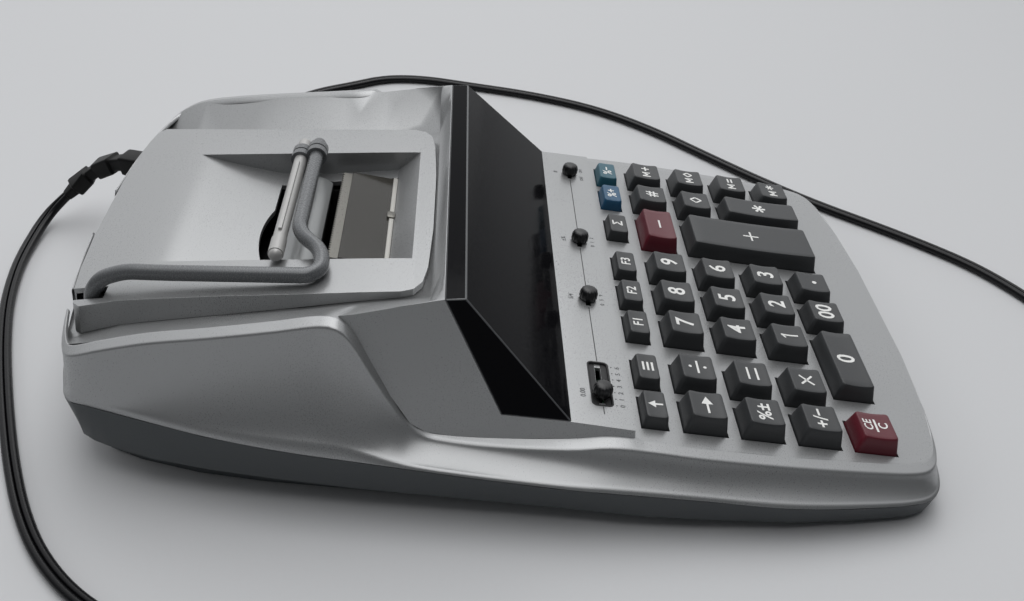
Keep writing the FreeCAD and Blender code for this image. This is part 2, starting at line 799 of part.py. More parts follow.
def make_upper_case():
    outside = hull.cut(valley(0.0)).fuse(hump.cut(valley(0.0)))
    inside = hull_inside.cut(valley(wall)).fuse(hump_inside.cut(valley(wall)))
    shell = outside.common(above_parting).cut(inside)
    bosses = []
    for x, y in screw_places:
        top = valley_height(abs(x) - boss_radius, y + boss_radius) if y > 0 else deck_z(y - boss_radius)
        column = post(boss_radius, x, y, screw_seat_z(y), top - wall / 2)
        bosses.append(column.common(above_parting))
    bay = block(-bay_half_width, bay_half_width, bay_front_y, bay_rear_y, bay_low_z, bay_high_z)
    port_y = (cheek_top_y + cheek_foot_y) / 2 + 2.0
    port_half = tube_width / 2 + port_margin
    tube_port = block(-port_half, port_half, port_y - port_depth, port_y + port_depth, port_low_z, port_high_z)
    shell = shell.cut(bay)
    shell = shell.fuse(bosses + hinge_ears())
    pilots = [post(screw_radius, x, y, drill_low_z, screw_seat_z(y) + screw_length + screw_gap)
              for x, y in screw_places]
    shell = shell.cut(pilots + key_holes() + switch_slots() + [boot_hole(), tube_port])
    return shell.removeSplitter()


# Lower case

def pan_outline(inset):
    right = []
    for y in (150.0, 142.0, 130.0, 110.0, 88.75, 49.75, 0.0, -70.0, -115.0, -133.0, -141.0, -147.0):
        shift = pan_inset + inset
        y_place = y - shift / 2 if y > 0 else y + shift / 2
        right.append((along(skirt_line, y)[0] - shift, y_place))
    return right + [(-x, y) for x, y in reversed(right)]


def make_lower_case():
    outside = hull.common(below_parting)
    pan_top = skirt_height + 9.0
    pan = prism_z(pan_outline(0.0), pan_bottom, pan_top).common(below_parting)
    outside = outside.fuse(pan)
    inside = hull_inside.common(below_parting)
    pan_inside = prism_z(pan_outline(wall), pan_floor_z, pan_top + 2.0)
    floor_room = prism_z(pan_outline(wall), pan_floor_z, pan_top)
    shell = outside.cut([inside, pan_inside.common(inside.fuse(floor_room))])
    bosses = []
    for x, y in screw_places:
        column = post(lower_boss_radius, x, y, pan_floor_z - 0.5, drill_high_z).common(below_parting)
        bosses.append(column)
    supports = []
    slab = on_deck(block(-200.0, 200.0, -100.0, 250.0, board_bottom, board_bottom + 200.0))
    for x in (-board_half_width + support_inset, 0.0, board_half_width - support_inset):
        for s in support_rows:
            y = deck_anchor_y + s
            supports.append(post(support_radius, x, y, pan_floor_z - 0.5, drill_high_z).cut(slab))
    for x in (-frame_half_width + frame_support_inset, frame_half_width - frame_support_inset):
        for y in (frame_front_y + frame_support_inset, frame_rear_y - frame_support_inset):
            supports.append(post(support_radius, x, y, pan_floor_z - 0.5, frame_base_z))
    shell = shell.fuse(bosses + supports)
    cuts = [boot_hole()]
    for x, y in screw_places:
        cuts.append(post(screw_head_radius + screw_gap, x, y, drill_low_z, screw_seat_z(y)))
        cuts.append(post(screw_radius + shank_gap, x, y, drill_low_z, drill_high_z))
    for x, y in foot_places:
        cuts.append(post(foot_radius, x, y, drill_low_z, foot_height - foot_recess))
    return shell.cut(cuts).removeSplitter()


# Display window: a black wedge, open at the rear where it sits on the case.

def make_display_window():
    outline = [(cheek_top_y, cheek_top_z), (display_top_y, display_top_z), (display_foot_y, strip_rear_z),
               (cheek_foot_y, cheek_foot_z)]
    wedge = between_panels(prism_x(outline, -120.0, 120.0), 0.0)
    front = offset_inwards([(cheek_top_y, cheek_top_z), (display_top_y, display_top_z),
                            (display_foot_y, strip_rear_z)], window_wall)
    hollow_outline = [(front[0][0] + 4.0, front[0][1] - 1.0), front[1], (front[2][0] + 4.5, front[2][1] + 4.7),
                      (cheek_foot_y - 1.0, cheek_foot_z + 0.8), (cheek_foot_y + 10.0, cheek_foot_z + 2.0)]
    hollow = between_panels(prism_x(hollow_outline, -120.0, 120.0), window_wall)
    return wedge.cut(hollow)


def make_display_tube():
    """The glass tube lies behind the window, parallel to its face, on a dark holder."""
    slope = math.degrees(math.atan2(display_top_z - strip_rear_z, display_top_y - display_foot_y))
    depth = window_wall + tube_depth

    def placed(shape):
        shape.rotate(Vector(0, 0, 0), Vector(1, 0, 0), slope)
        shape.translate(Vector(0, display_foot_y, strip_rear_z))
        return shape

    face_length = math.hypot(display_top_z - strip_rear_z, display_top_y - display_foot_y)
    low = face_length / 2 - tube_height / 2 + tube_rise
    glass = placed(block(-tube_width / 2, tube_width / 2, low, low + tube_height,
                         -depth - tube_thickness, -depth))
    holder_half = tube_width / 2 + tube_holder_margin
    holder = placed(block(-holder_half, holder_half, low - 1.0, low + tube_height + 1.0,
                          -depth - tube_thickness - tube_holder_depth, -depth - tube_thickness))
    behind = prism_x([(cheek_top_y, cheek_top_z), (cheek_foot_y, cheek_foot_z),
                      (cheek_foot_y + 60.0, cheek_foot_z), (cheek_top_y + 60.0, cheek_top_z)], -120.0, 120.0)
    floor = block(-120.0, 120.0, -60.0, 60.0, 0.0, cheek_foot_z + 1.5)
    holder = holder.cut([behind, floor])
    return [glass, holder]


# Printer cover

def cover_outline(y):
    top_w, top_z, seam_w, seam_z = along(cover_line, y)
    return mirrored([(seam_w - cover_seam_gap, seam_z + cover_seat_gap), (top_w, top_z)])


def cover_hollow(inset):
    """Cross-section under the cover's skin, carried on downwards below the seam."""
    def outline(y):
        top_w, top_z, seam_w, seam_z = along(cover_line, y)
        side_w = seam_w - cover_seam_gap - inset
        return mirrored([(side_w, hollow_base_z), (side_w, seam_z + cover_seat_gap),
                         (top_w - inset, top_z - inset)])
    return outline


well_line = [
    (well_front_y - 1.0, 59.6), (window_front_y, window_front_z - 0.1), (tear_y + 4.5, inlet_floor_z + 1.2),
    (inlet_rear_y, inlet_floor_z),
    (inlet_rear_y + 12.0, inlet_floor_z + 12.0 * 0.22 - ramp_sag * 0.6),
    (inlet_rear_y + 24.0, inlet_floor_z + 24.0 * 0.22 - ramp_sag * 0.5),
    (ramp_rear_y, ramp_rear_z - 0.3), (ramp_rear_y + 8.0, ramp_rear_z + 2.0),
]


def make_printer_cover():
    stations = [point[0] for point in cover_line]
    last_y = cover_rear_y - cover_wall
    inner_y = [well_front_y] + [y for y in stations if well_front_y < y < last_y] + [last_y]
    shell = loft_along_y(stations, cover_outline).cut(loft_along_y(inner_y, cover_hollow(cover_wall)))
    tray_line = offset_inwards(list(reversed(well_line)), cover_wall)
    tray = prism_x(list(reversed(well_line))[:-1] + [well_line[0]] + list(reversed(tray_line)),
                   -well_half_width - cover_wall, well_half_width + cover_wall)
    side_low = [(point[0], point[1] - cover_wall) for point in well_line]
    cheeks = []
    outer = well_half_width + cover_wall
    for x0, x1 in ((-outer, -well_half_width), (well_half_width, outer)):
        cheeks.append(prism_x([(well_front_y - 0.5, 56.0)] + side_low[1:-1]
                              + [(ramp_rear_y, 51.0), (ramp_rear_y, 52.5)], x0, x1))
    keep = loft_along_y(inner_y, cover_hollow(cover_wall / 2))
    whole = shell.fuse([piece.common(keep) for piece in [tray] + cheeks])
    well = prism_x(well_line, -well_half_width, well_half_width)
    port = block(-opening_half_width, opening_half_width, window_front_y - 0.3, inlet_front_y,
                 cut_low_z, cut_high_z)
    inlet = block(inlet_left, inlet_right, inlet_front_y - 1.0, inlet_rear_y, cut_low_z, cut_high_z)
    notch_x = (notch_left + notch_right) / 2
    notch_half = (notch_right - notch_left) / 2
    bow_radius = (notch_half ** 2 + notch_depth ** 2) / (2 * notch_depth)
    crescent = post(bow_radius, notch_x, inlet_rear_y + notch_depth - bow_radius, cut_low_z, cut_high_z)
    crescent = crescent.common(block(notch_left, notch_right, inlet_front_y, inlet_rear_y + 10.0,
                                     cut_low_z, cut_high_z))
    slot_half = arm_radius + arm_slot_gap
    arm_slot = block(hinge_x - slot_half, hinge_x + slot_half, hinge_y - arm_radius - 2.0, rear_wall_y + 10.0,
                     cut_low_z, cut_high_z)
    for opening in (well, port, inlet, crescent, arm_slot):
        whole = whole.cut(opening)
    return whole.removeSplitter()


def make_paper_window():
    rise = tear_z - window_front_z
    run = tear_y - window_front_y
    length = math.hypot(rise, run)
    pane = block(-window_half_width, window_half_width, 0.0, length - tear_depth, -window_thickness, 0.0)
    ledge = block(-window_half_width, window_half_width, 0.0, 3.0, -window_thickness - 1.0, -window_thickness)
    pane = pane.fuse(ledge)
    pane.rotate(Vector(0, 0, 0), Vector(1, 0, 0), math.degrees(math.atan2(rise, run)))
    pane.translate(Vector(0, window_front_y, window_front_z))
    return pane


def make_tear_bar():
    rise = tear_z - window_front_z
    run = tear_y - window_front_y
    teeth = int(2 * tear_half_width / tooth_pitch)
    start = -teeth * tooth_pitch / 2
    outline = [(start, -tear_depth)]
    for count in range(teeth):
        outline.append((start + count * tooth_pitch, 0.0))
        outline.append((start + (count + 0.5) * tooth_pitch, tooth_height))
    outline.append((start + teeth * tooth_pitch, 0.0))
    outline.append((start + teeth * tooth_pitch, -tear_depth))
    bar = prism_z(outline, -window_thickness, -window_thickness + tear_thickness)
    bar.rotate(Vector(0, 0, 0), Vector(1, 0, 0), math.degrees(math.atan2(rise, run)))
    bar.translate(Vector(0, tear_y, tear_z))
    return bar


# Printer

def make_printer_frame():
    inner = frame_half_width - frame_wall
    base = block(-frame_half_width, frame_half_width, frame_front_y, frame_rear_y, frame_base_z,
                 frame_base_z + frame_wall)
    plates = [
        block(x0, x1, frame_front_y, frame_rear_y, frame_base_z, frame_top_z)
        for x0, x1 in ((-frame_half_width, -inner), (inner, frame_half_width))
    ]
    dome = rod_x(dome_radius, -inner, inner, platen_y, platen_z)
    dome = dome.cut(rod_x(dome_radius - dome_wall, -inner - 1, inner + 1, platen_y, platen_z))
    cap = block(-inner, inner, platen_y - dome_half_span, platen_y + dome_half_span, frame_top_z - 3.0, 60.0)
    dome = dome.common(cap)
    webs = []
    for x0, x1 in ((-inner, -inner + dome_wall), (inner - dome_wall, inner)):
        web = rod_x(dome_radius - dome_wall / 2, x0, x1, platen_y, platen_z).common(
            block(x0, x1, platen_y - dome_half_span, platen_y + dome_half_span, platen_z, 60.0))
        webs.append(web)
    frame = base.fuse(plates + [dome] + webs)
    frame = frame.cut(rod_x(shaft_radius + shaft_gap, -60.0, 60.0, platen_y, platen_z))
    frame = frame.cut(rod_x(shaft_radius, -60.0, 60.0, rail_y, rail_z)).removeSplitter()
    rail = rod_x(shaft_radius, -frame_half_width, frame_half_width, rail_y, rail_z)
    motor_z = frame_base_z + frame_wall + motor_radius
    motor = rod_x(motor_radius, -motor_length / 2, motor_length / 2, motor_y, motor_z)
    cradle = block(-motor_length / 2, motor_length / 2, motor_y - motor_radius, motor_y + motor_radius,
                   frame_base_z + frame_wall, motor_z - 4.0)
    return [frame, rail, fused([motor, cradle])]


def make_platen_roller():
    half_roller = frame_half_width - frame_wall - platen_side_gap
    roller = rod_x(platen_radius, -half_roller, half_roller, platen_y, platen_z)
    gear_x0 = frame_half_width + 0.4
    shaft = rod_x(shaft_radius, -frame_half_width - 1.5, gear_x0 + gear_width, platen_y, platen_z)
    gear = rod_x(gear_radius, gear_x0, gear_x0 + gear_width, platen_y, platen_z)
    cuts = []
    for count in range(gear_teeth):
        angle = 2 * math.pi * count / gear_teeth
        cuts.append(rod_x(tooth_depth / 2, gear_x0 - 1, gear_x0 + gear_width + 1,
                          platen_y + gear_radius * math.cos(angle), platen_z + gear_radius * math.sin(angle)))
    gear = gear.cut(cuts)
    return fused([roller, shaft, gear])


def make_print_carriage():
    x0, x1 = -carriage_width / 2, carriage_width / 2
    body = block(x0, x1, rail_y - carriage_depth / 2, rail_y + carriage_depth / 2,
                 rail_z - carriage_height / 2, rail_z + carriage_height / 2)
    body = body.cut(rod_x(shaft_radius + shaft_gap, x0 - 1, x1 + 1, rail_y, rail_z))
    roll_y = rail_y
    roll_z = rail_z + carriage_height / 2 + ink_roll_rise
    ink = rod_x(ink_roll_radius, x0 + ink_roll_inset, x1 - ink_roll_inset, roll_y, roll_z)
    return [body.cut(ink), ink]


# Paper arm and spindle

arm_route = [
    (hinge_x, hinge_y, hinge_z), (hinge_x, hinge_y, hinge_z + 6.0),
    (hinge_x + 0.8, hinge_y - 3.6, leg_rear_z - 2.0),
    (leg_x, leg_rear_y, leg_rear_z), (leg_x, leg_rear_y - 12.0, leg_rear_z),
    (leg_x, leg_front_y, leg_front_z), (bulge_x, bulge_y, leg_front_z + 0.4),
    (crossbar_start_x, crossbar_y, crossbar_z), (crossbar_tip_x, crossbar_y, crossbar_z),
]


def make_paper_arm():
    rod = tube_along(smooth_path(arm_route, "paper arm"), arm_radius)
    tip = Part.makeSphere(arm_radius, Vector(crossbar_tip_x, crossbar_y, crossbar_z))
    knuckle = rod_x(arm_radius, hinge_x - arm_radius, hinge_x + arm_radius, hinge_y, hinge_z)
    pin = rod_x(hinge_pin_radius, hinge_x - hinge_pin_half, hinge_x + hinge_pin_half, hinge_y, hinge_z)
    return rod.fuse([tip, knuckle, pin])


def make_roll_spindle():
    bar = rod_x(spindle_radius, -spindle_half_length, spindle_half_length, spindle_y, spindle_z)
    ends = [Part.makeSphere(spindle_radius, Vector(side * spindle_half_length, spindle_y, spindle_z))
            for side in (-1, 1)]
    sleeve = rod_x(spindle_radius + 0.3, -spindle_half_length, sleeve_length - spindle_half_length,
                   spindle_y, spindle_z)
    fin = block(-spindle_fin_length / 2 - 4.0, spindle_fin_length / 2 - 4.0, spindle_y - 0.6, spindle_y + 0.6,
                spindle_z, spindle_z + spindle_radius + spindle_fin)
    rings = []
    bores = []
    for x0 in (collar_x, collar_x + collar_thickness + 0.8):
        x1 = x0 + collar_thickness
        rings.append(rod_x(spindle_radius + collar_wall, x0, x1, spindle_y, spindle_z))
        rings.append(rod_x(arm_radius + collar_wall, x0, x1, crossbar_y, crossbar_z))
        bores.append(rod_x(arm_radius + collar_gap, x0 - 1, x1 + 1, crossbar_y, crossbar_z))
    whole = bar.fuse(ends + [sleeve, fin] + rings)
    return whole.cut(bores).removeSplitter()


# Boards and mat

def make_main_board():
    board = on_deck(block(-board_half_width, board_half_width, board_front_s, board_rear_s,
                          board_bottom, board_top))
    bodies = []
    for name, x, left, right in switches:
        middle = x + (right - left) / 2
        half = (left + right) / 2 + knob_diameter / 2
        bodies.append(on_deck(block(middle - half, middle + half, switch_s - 4.0, switch_s + 4.0,
                                    board_top, board_top + switch_body_height)))
    half = transformer_core / 2
    core = block(transformer_x - half, transformer_x + half, transformer_y - half, transformer_y + half,
                 pan_floor_z, transformer_top_z)
    winding = block(transformer_x - winding_half_width, transformer_x + winding_half_width,
                    transformer_y - winding_half_depth, transformer_y + winding_half_depth,
                    winding_low_z, winding_top_z).cut(core)
    return [board] + bodies + [core.fuse(winding).removeSplitter()]


def make_key_mat():
    return on_deck(block(-board_half_width, board_half_width, board_front_s, mat_rear_s, board_top, mat_top))


# Boot, cord, coil and plug

boot_route = [
    (boot_x, boot_seat_y + 2.5, boot_z), (boot_x + 2.5, boot_seat_y + 14.0, boot_z + 0.3),
    (boot_x + 6.5, boot_seat_y + 25.0, boot_z - 4.0), (boot_x + 7.5, boot_seat_y + 35.0, boot_z - 11.0),
    (68.5, 195.0, 12.5),
]


def make_cord_boot():
    half = boot_neck / 2
    flange_y = boot_seat_y - 4.8
    half_flange = boot_flange / 2
    flange = block(boot_x - half_flange, boot_x + half_flange, flange_y - boot_flange_thickness, flange_y,
                   boot_z - half_flange, boot_z + half_flange)
    neck = block(boot_x - half, boot_x + half, flange_y, boot_seat_y + 3.0, boot_z - half, boot_z + half)
    pieces = [flange, neck]
    for index, (a, b) in enumerate(zip(boot_route, boot_route[1:])):
        start, end = Vector(*a), Vector(*b)
        axis = end - start
        length = axis.Length
        width = boot_width - index * boot_width_step
        height = boot_height - index * boot_height_step
        last = index == len(boot_route) - 2
        body_length = length if last else length - boot_segment_gap
        segment = block(-width / 2, width / 2, 0.0, body_length, -height / 2, height / 2)
        link_width = width * boot_link_width
        link_height = height * boot_link_height
        link_end = length if last else length + boot_link_reach
        link = block(-link_width / 2, link_width / 2, -boot_link_reach, link_end,
                     -link_height / 2, link_height / 2)
        piece = segment.fuse(link)
        piece.Placement = FreeCAD.Placement(start, FreeCAD.Rotation(Vector(0, 1, 0), axis))
        pieces.append(piece)
    return fused(pieces)


def make_cord_lead():
    coil_point = (coil_start_x, coil_start_y, cord_diameter / 2 + cord_clearance)
    path = smooth_path(list(cord_route) + [coil_point], "cord")
    tube = tube_along(path, cord_diameter / 2)
    section = math.pi * (cord_diameter / 2) ** 2
    share = tube.Volume / (section * path.Length)
    print("cord path %.1f, tube volume / (section x length) %.5f" % (path.Length, share))
    return tube


def coil_edges():
    """A quarter turn and half turns inwards, one that climbs, and half turns out again on top."""
    low = cord_diameter / 2 + cord_clearance
    climb = cord_diameter + coil_layer_gap
    step = (cord_diameter + coil_turn_gap) / 2
    last_run = Vector(*cord_route[-1])
    start = Vector(coil_start_x, coil_start_y, low)
    heading = start - Vector(last_run.x, last_run.y, low)
    heading.normalize()
    left = Vector(-heading.y, heading.x, 0)
    point = start + heading * coil_lead_in
    centre = point + left * coil_outer_radius
    end = centre + heading * coil_outer_radius
    middle = centre + (heading - left) * (coil_outer_radius * math.sqrt(0.5))
    edges = [Part.LineSegment(start, point).toShape(), Part.Arc(point, middle, end).toShape()]
    inward = [coil_outer_radius - step * count for count in range(1, coil_inward_half_turns + 1)]
    outward = list(reversed(inward)) + [coil_outer_radius]
    radii = inward + [inward[-1] - step] + outward
    point = end
    heading = left
    z = low
    for index, radius in enumerate(radii):
        rises = index == coil_inward_half_turns
        left = Vector(-heading.y, heading.x, 0)
        next_z = z + climb if rises else z
        end = point + left * (2 * radius)
        end.z = next_z
        half_chord = (end - point).Length / 2
        middle = (point + end) * 0.5 + heading * half_chord
        edges.append(Part.Arc(point, middle, end).toShape())
        point = end
        z = next_z
        heading = heading * -1.0
    exit_point = point + heading * plug_lead
    edges.append(Part.LineSegment(point, exit_point).toShape())
    return edges, exit_point, heading


def make_cord_coil():
    edges, exit_point, heading = coil_edges()
    path = Part.Wire(edges)
    tube = tube_along(path, cord_diameter / 2)
    section = math.pi * (cord_diameter / 2) ** 2
    points = path.discretize(Distance=1.5)
    least = 1e9
    skip = int(4 * cord_diameter)
    for i, p in enumerate(points):
        for q in points[i + skip:]:
            least = min(least, (p - q).Length)
    print("coil path %.1f, tube volume / (section x length) %.5f, least gap to itself %.2f" % (
        path.Length, tube.Volume / (section * path.Length), least - cord_diameter))
    return tube


def make_plug():
    edges, exit_point, heading = coil_edges()
    height = exit_point.z * 2
    turn = FreeCAD.Placement(exit_point, FreeCAD.Rotation(Vector(0, 1, 0), heading))
    neck = Part.makeCone(plug_neck_radius * plug_neck_taper, plug_neck_radius, plug_neck_length,
                         Vector(0, 0, 0), Vector(0, 1, 0))
    shell = block(-plug_width / 2, plug_width / 2, plug_neck_length, plug_neck_length + plug_length,
                  -exit_point.z + cord_clearance, height - exit_point.z - 1.0)
    shell = shell.makeFillet(plug_corner, shell.Edges)
    pieces = [neck.fuse(shell).removeSplitter()]
    front = plug_neck_length + plug_length
    for side in (-1, 1):
        x = side * blade_spacing / 2
        pieces.append(block(x - blade_thickness / 2, x + blade_thickness / 2, front, front + blade_length,
                            -blade_width / 2, blade_width / 2))
    for piece in pieces:
        piece.Placement = turn
    return pieces


save(make_upper_case(), "upper_case")
save(make_lower_case(), "lower_case")
save(make_printer_cover(), "printer_cover")
save(make_paper_window(), "paper_window")
save(make_tear_bar(), "tear_bar")
save(make_display_window(), "display_window")
save(make_display_tube(), "display_tube")
for name, x, s, top_w, top_d, rise, margin_s in keys:
    save(on_deck(make_key(x, s, top_w, top_d, rise, margin_s)), name)
for name, x, left, right in switches:
    save(make_knob(x), name)
save(make_paper_arm(), "paper_arm")
save(make_roll_spindle(), "roll_spindle")
save(make_platen_roller(), "platen_roller")
save(make_printer_frame(), "printer_frame")
save(make_print_carriage(), "print_carriage")
save(make_main_board(), "main_board")
save(make_key_mat(), "key_mat")
save([post(foot_radius, x, y, 0.0, foot_height - foot_recess) for x, y in foot_places], "rubber_feet")
save([make_screw(x, y) for x, y in screw_places], "case_screws")
save(make_cord_boot(), "cord_boot")
save(make_cord_lead(), "cord_lead")
save(make_cord_coil(), "cord_coil")
save(make_plug(), "plug")
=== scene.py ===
import bmesh
import bpy
import json
import math
from mathutils import Matrix, Vector


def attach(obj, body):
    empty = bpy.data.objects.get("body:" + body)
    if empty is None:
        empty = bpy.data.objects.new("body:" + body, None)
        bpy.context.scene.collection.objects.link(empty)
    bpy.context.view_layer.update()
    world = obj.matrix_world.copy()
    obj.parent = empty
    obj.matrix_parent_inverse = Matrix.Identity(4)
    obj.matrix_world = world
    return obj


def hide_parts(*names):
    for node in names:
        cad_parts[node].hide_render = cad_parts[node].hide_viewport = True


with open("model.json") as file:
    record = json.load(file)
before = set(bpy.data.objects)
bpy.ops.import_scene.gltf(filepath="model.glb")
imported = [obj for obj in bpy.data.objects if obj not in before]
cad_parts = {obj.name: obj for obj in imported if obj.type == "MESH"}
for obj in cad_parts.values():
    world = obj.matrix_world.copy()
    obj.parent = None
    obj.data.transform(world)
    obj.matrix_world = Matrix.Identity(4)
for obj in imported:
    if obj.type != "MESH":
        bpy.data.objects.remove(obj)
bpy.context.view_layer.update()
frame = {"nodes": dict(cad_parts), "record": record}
scene = bpy.context.scene
scene.view_settings.view_transform = "Standard"
nodes = frame["nodes"]
slotOf = {part["node"]: part["material_slot"] for part in frame["record"]["subparts"]}
print("frame loaded:", len(nodes), "nodes")


def addObject(name, data):
    made = bpy.data.objects.new(name, data)
    scene.collection.objects.link(made)
    return made


# Camera and lamps

photoCamera = {
    "place": (-0.3608, 0.02595, 0.2708),
    "forward": (0.8122, -0.0642, -0.5799),
    "right": (-0.0293, -0.9971, 0.0695),
    "lens": 38.28,
    "sensor": 36.0,
}


def placeCamera(settings):
    data = bpy.data.cameras.new("photoCamera")
    data.lens = settings["lens"]
    data.sensor_width = settings["sensor"]
    data.clip_start = 0.01
    eye = addObject("photoCamera", data)
    right = Vector(settings["right"]).normalized()
    forward = Vector(settings["forward"]).normalized()
    up = right.cross(forward)
    turn = Matrix((right, up, -forward)).transposed().to_4x4()
    eye.matrix_world = Matrix.Translation(settings["place"]) @ turn
    scene.camera = eye


studio = {
    # the sky is bright behind the object and dim behind the camera
    "brightSide": (0.80, 0.05, 0.60),
    # colours by direction, from -1 facing away to 1 facing the bright side
    "skyColours": ((-1.0, (0.50, 0.51, 0.52)), (-0.80, (0.26, 0.265, 0.27)), (-0.45, (0.065, 0.068, 0.072)),
                   (0.20, (0.055, 0.058, 0.062)), (0.50, (0.32, 0.325, 0.335)), (0.78, (0.80, 0.81, 0.825)),
                   (1.0, (0.88, 0.89, 0.905))),
    "skyStrength": 1.12,
    "softboxes": (
        # name, place, size, watts, aimed at, whether it shows in reflections
        ("overheadSoftbox", (0.28, 0.0, 1.35), (0.9, 2.4), 12.0, (0.0, 0.0, 0.0), True),
        ("rearSoftbox", (-0.2, 1.5, 0.7), (1.4, 0.8), 4.0, (0.0, 0.0, 0.03), False),
    ),
    "floorSize": 2.6,
}


def lightStudio(settings):
    world = bpy.data.worlds.new("softDaylight")
    world.use_nodes = True
    tree = world.node_tree
    sky = tree.nodes["Background"]
    sky.inputs["Strength"].default_value = settings["skyStrength"]
    direction = tree.nodes.new("ShaderNodeTexCoord")
    towards = tree.nodes.new("ShaderNodeVectorMath")
    towards.operation = "DOT_PRODUCT"
    towards.inputs[1].default_value = settings["brightSide"]
    level = tree.nodes.new("ShaderNodeMapRange")
    level.inputs["From Min"].default_value = -1.0
    ramp = tree.nodes.new("ShaderNodeValToRGB")
    stops = ramp.color_ramp.elements
    for index, (place, colour) in enumerate(settings["skyColours"]):
        stop = stops[index] if index < 2 else stops.new((place + 1.0) / 2.0)
        stop.position = (place + 1.0) / 2.0
        stop.color = (*colour, 1.0)
    tree.links.new(direction.outputs["Generated"], towards.inputs[0])
    tree.links.new(towards.outputs["Value"], level.inputs["Value"])
    tree.links.new(level.outputs[0], ramp.inputs["Fac"])
    tree.links.new(ramp.outputs["Color"], sky.inputs["Color"])
    scene.world = world
    for name, place, size, watts, target, mirrored in settings["softboxes"]:
        data = bpy.data.lights.new(name, "AREA")
        data.shape = "RECTANGLE"
        data.size, data.size_y = size
        data.energy = watts
        lamp = addObject(name, data)
        lamp.location = place
        aim = Vector(target) - Vector(place)
        lamp.rotation_euler = aim.to_track_quat("-Z", "Y").to_euler()
        lamp.visible_glossy = mirrored


# Materials, and the floor

def socket(tree, name, way, kind, value=None):
    made = tree.interface.new_socket(name=name, in_out=way, socket_type=kind)
    if value is not None:
        made.default_value = value


grainMix = {
    "fineDetail": 3.0,
    "broadDetail": 2.0,
    "broadScale": 22.0,
    "broadShare": 0.35,
    "middle": 0.675,  # mean of the fine noise and this share of the broad one together
    "roughSwing": 0.25,
}


# a math node fed by numbers or by other nodes' outputs
def mathStep(tree, operation, *given):
    step = tree.nodes.new("ShaderNodeMath")
    step.operation = operation
    for entry, value in zip(step.inputs, given):
        if isinstance(value, float):
            entry.default_value = value
        else:
            tree.links.new(value, entry)
    return step.outputs[0]


def surfaceGrain(mix):
    tree = bpy.data.node_groups.new("surfaceGrain", "ShaderNodeTree")
    socket(tree, "Colour", "INPUT", "NodeSocketColor", (0.5, 0.5, 0.5, 1.0))
    socket(tree, "Grain size", "INPUT", "NodeSocketFloat", 1500.0)
    socket(tree, "Mottle", "INPUT", "NodeSocketFloat", 0.1)
    socket(tree, "Roughness", "INPUT", "NodeSocketFloat", 0.4)
    socket(tree, "Depth", "INPUT", "NodeSocketFloat", 0.00002)
    socket(tree, "Colour", "OUTPUT", "NodeSocketColor")
    socket(tree, "Roughness", "OUTPUT", "NodeSocketFloat")
    socket(tree, "Normal", "OUTPUT", "NodeSocketVector")
    make, link = tree.nodes.new, tree.links.new
    given, result = make("NodeGroupInput"), make("NodeGroupOutput")
    place = make("ShaderNodeTexCoord")
    fine = make("ShaderNodeTexNoise")
    fine.inputs["Detail"].default_value = mix["fineDetail"]
    broad = make("ShaderNodeTexNoise")
    broad.inputs["Scale"].default_value = mix["broadScale"]
    broad.inputs["Detail"].default_value = mix["broadDetail"]
    link(place.outputs["Object"], fine.inputs["Vector"])
    link(place.outputs["Object"], broad.inputs["Vector"])
    link(given.outputs["Grain size"], fine.inputs["Scale"])
    both = mathStep(tree, "MULTIPLY_ADD", broad.outputs["Fac"], mix["broadShare"], fine.outputs["Fac"])
    swing = mathStep(tree, "SUBTRACT", both, mix["middle"])
    tint = mathStep(tree, "MULTIPLY_ADD", swing, given.outputs["Mottle"], 1.0)
    rough = mathStep(tree, "MULTIPLY_ADD", swing, mix["roughSwing"], given.outputs["Roughness"])
    shade = make("ShaderNodeVectorMath")
    shade.operation = "SCALE"
    link(given.outputs["Colour"], shade.inputs[0])
    link(tint, shade.inputs["Scale"])
    bump = make("ShaderNodeBump")
    link(fine.outputs["Fac"], bump.inputs["Height"])
    link(given.outputs["Depth"], bump.inputs["Distance"])
    link(shade.outputs[0], result.inputs["Colour"])
    link(rough, result.inputs["Roughness"])
    link(bump.outputs[0], result.inputs["Normal"])
    return tree


grainTree = surfaceGrain(grainMix)

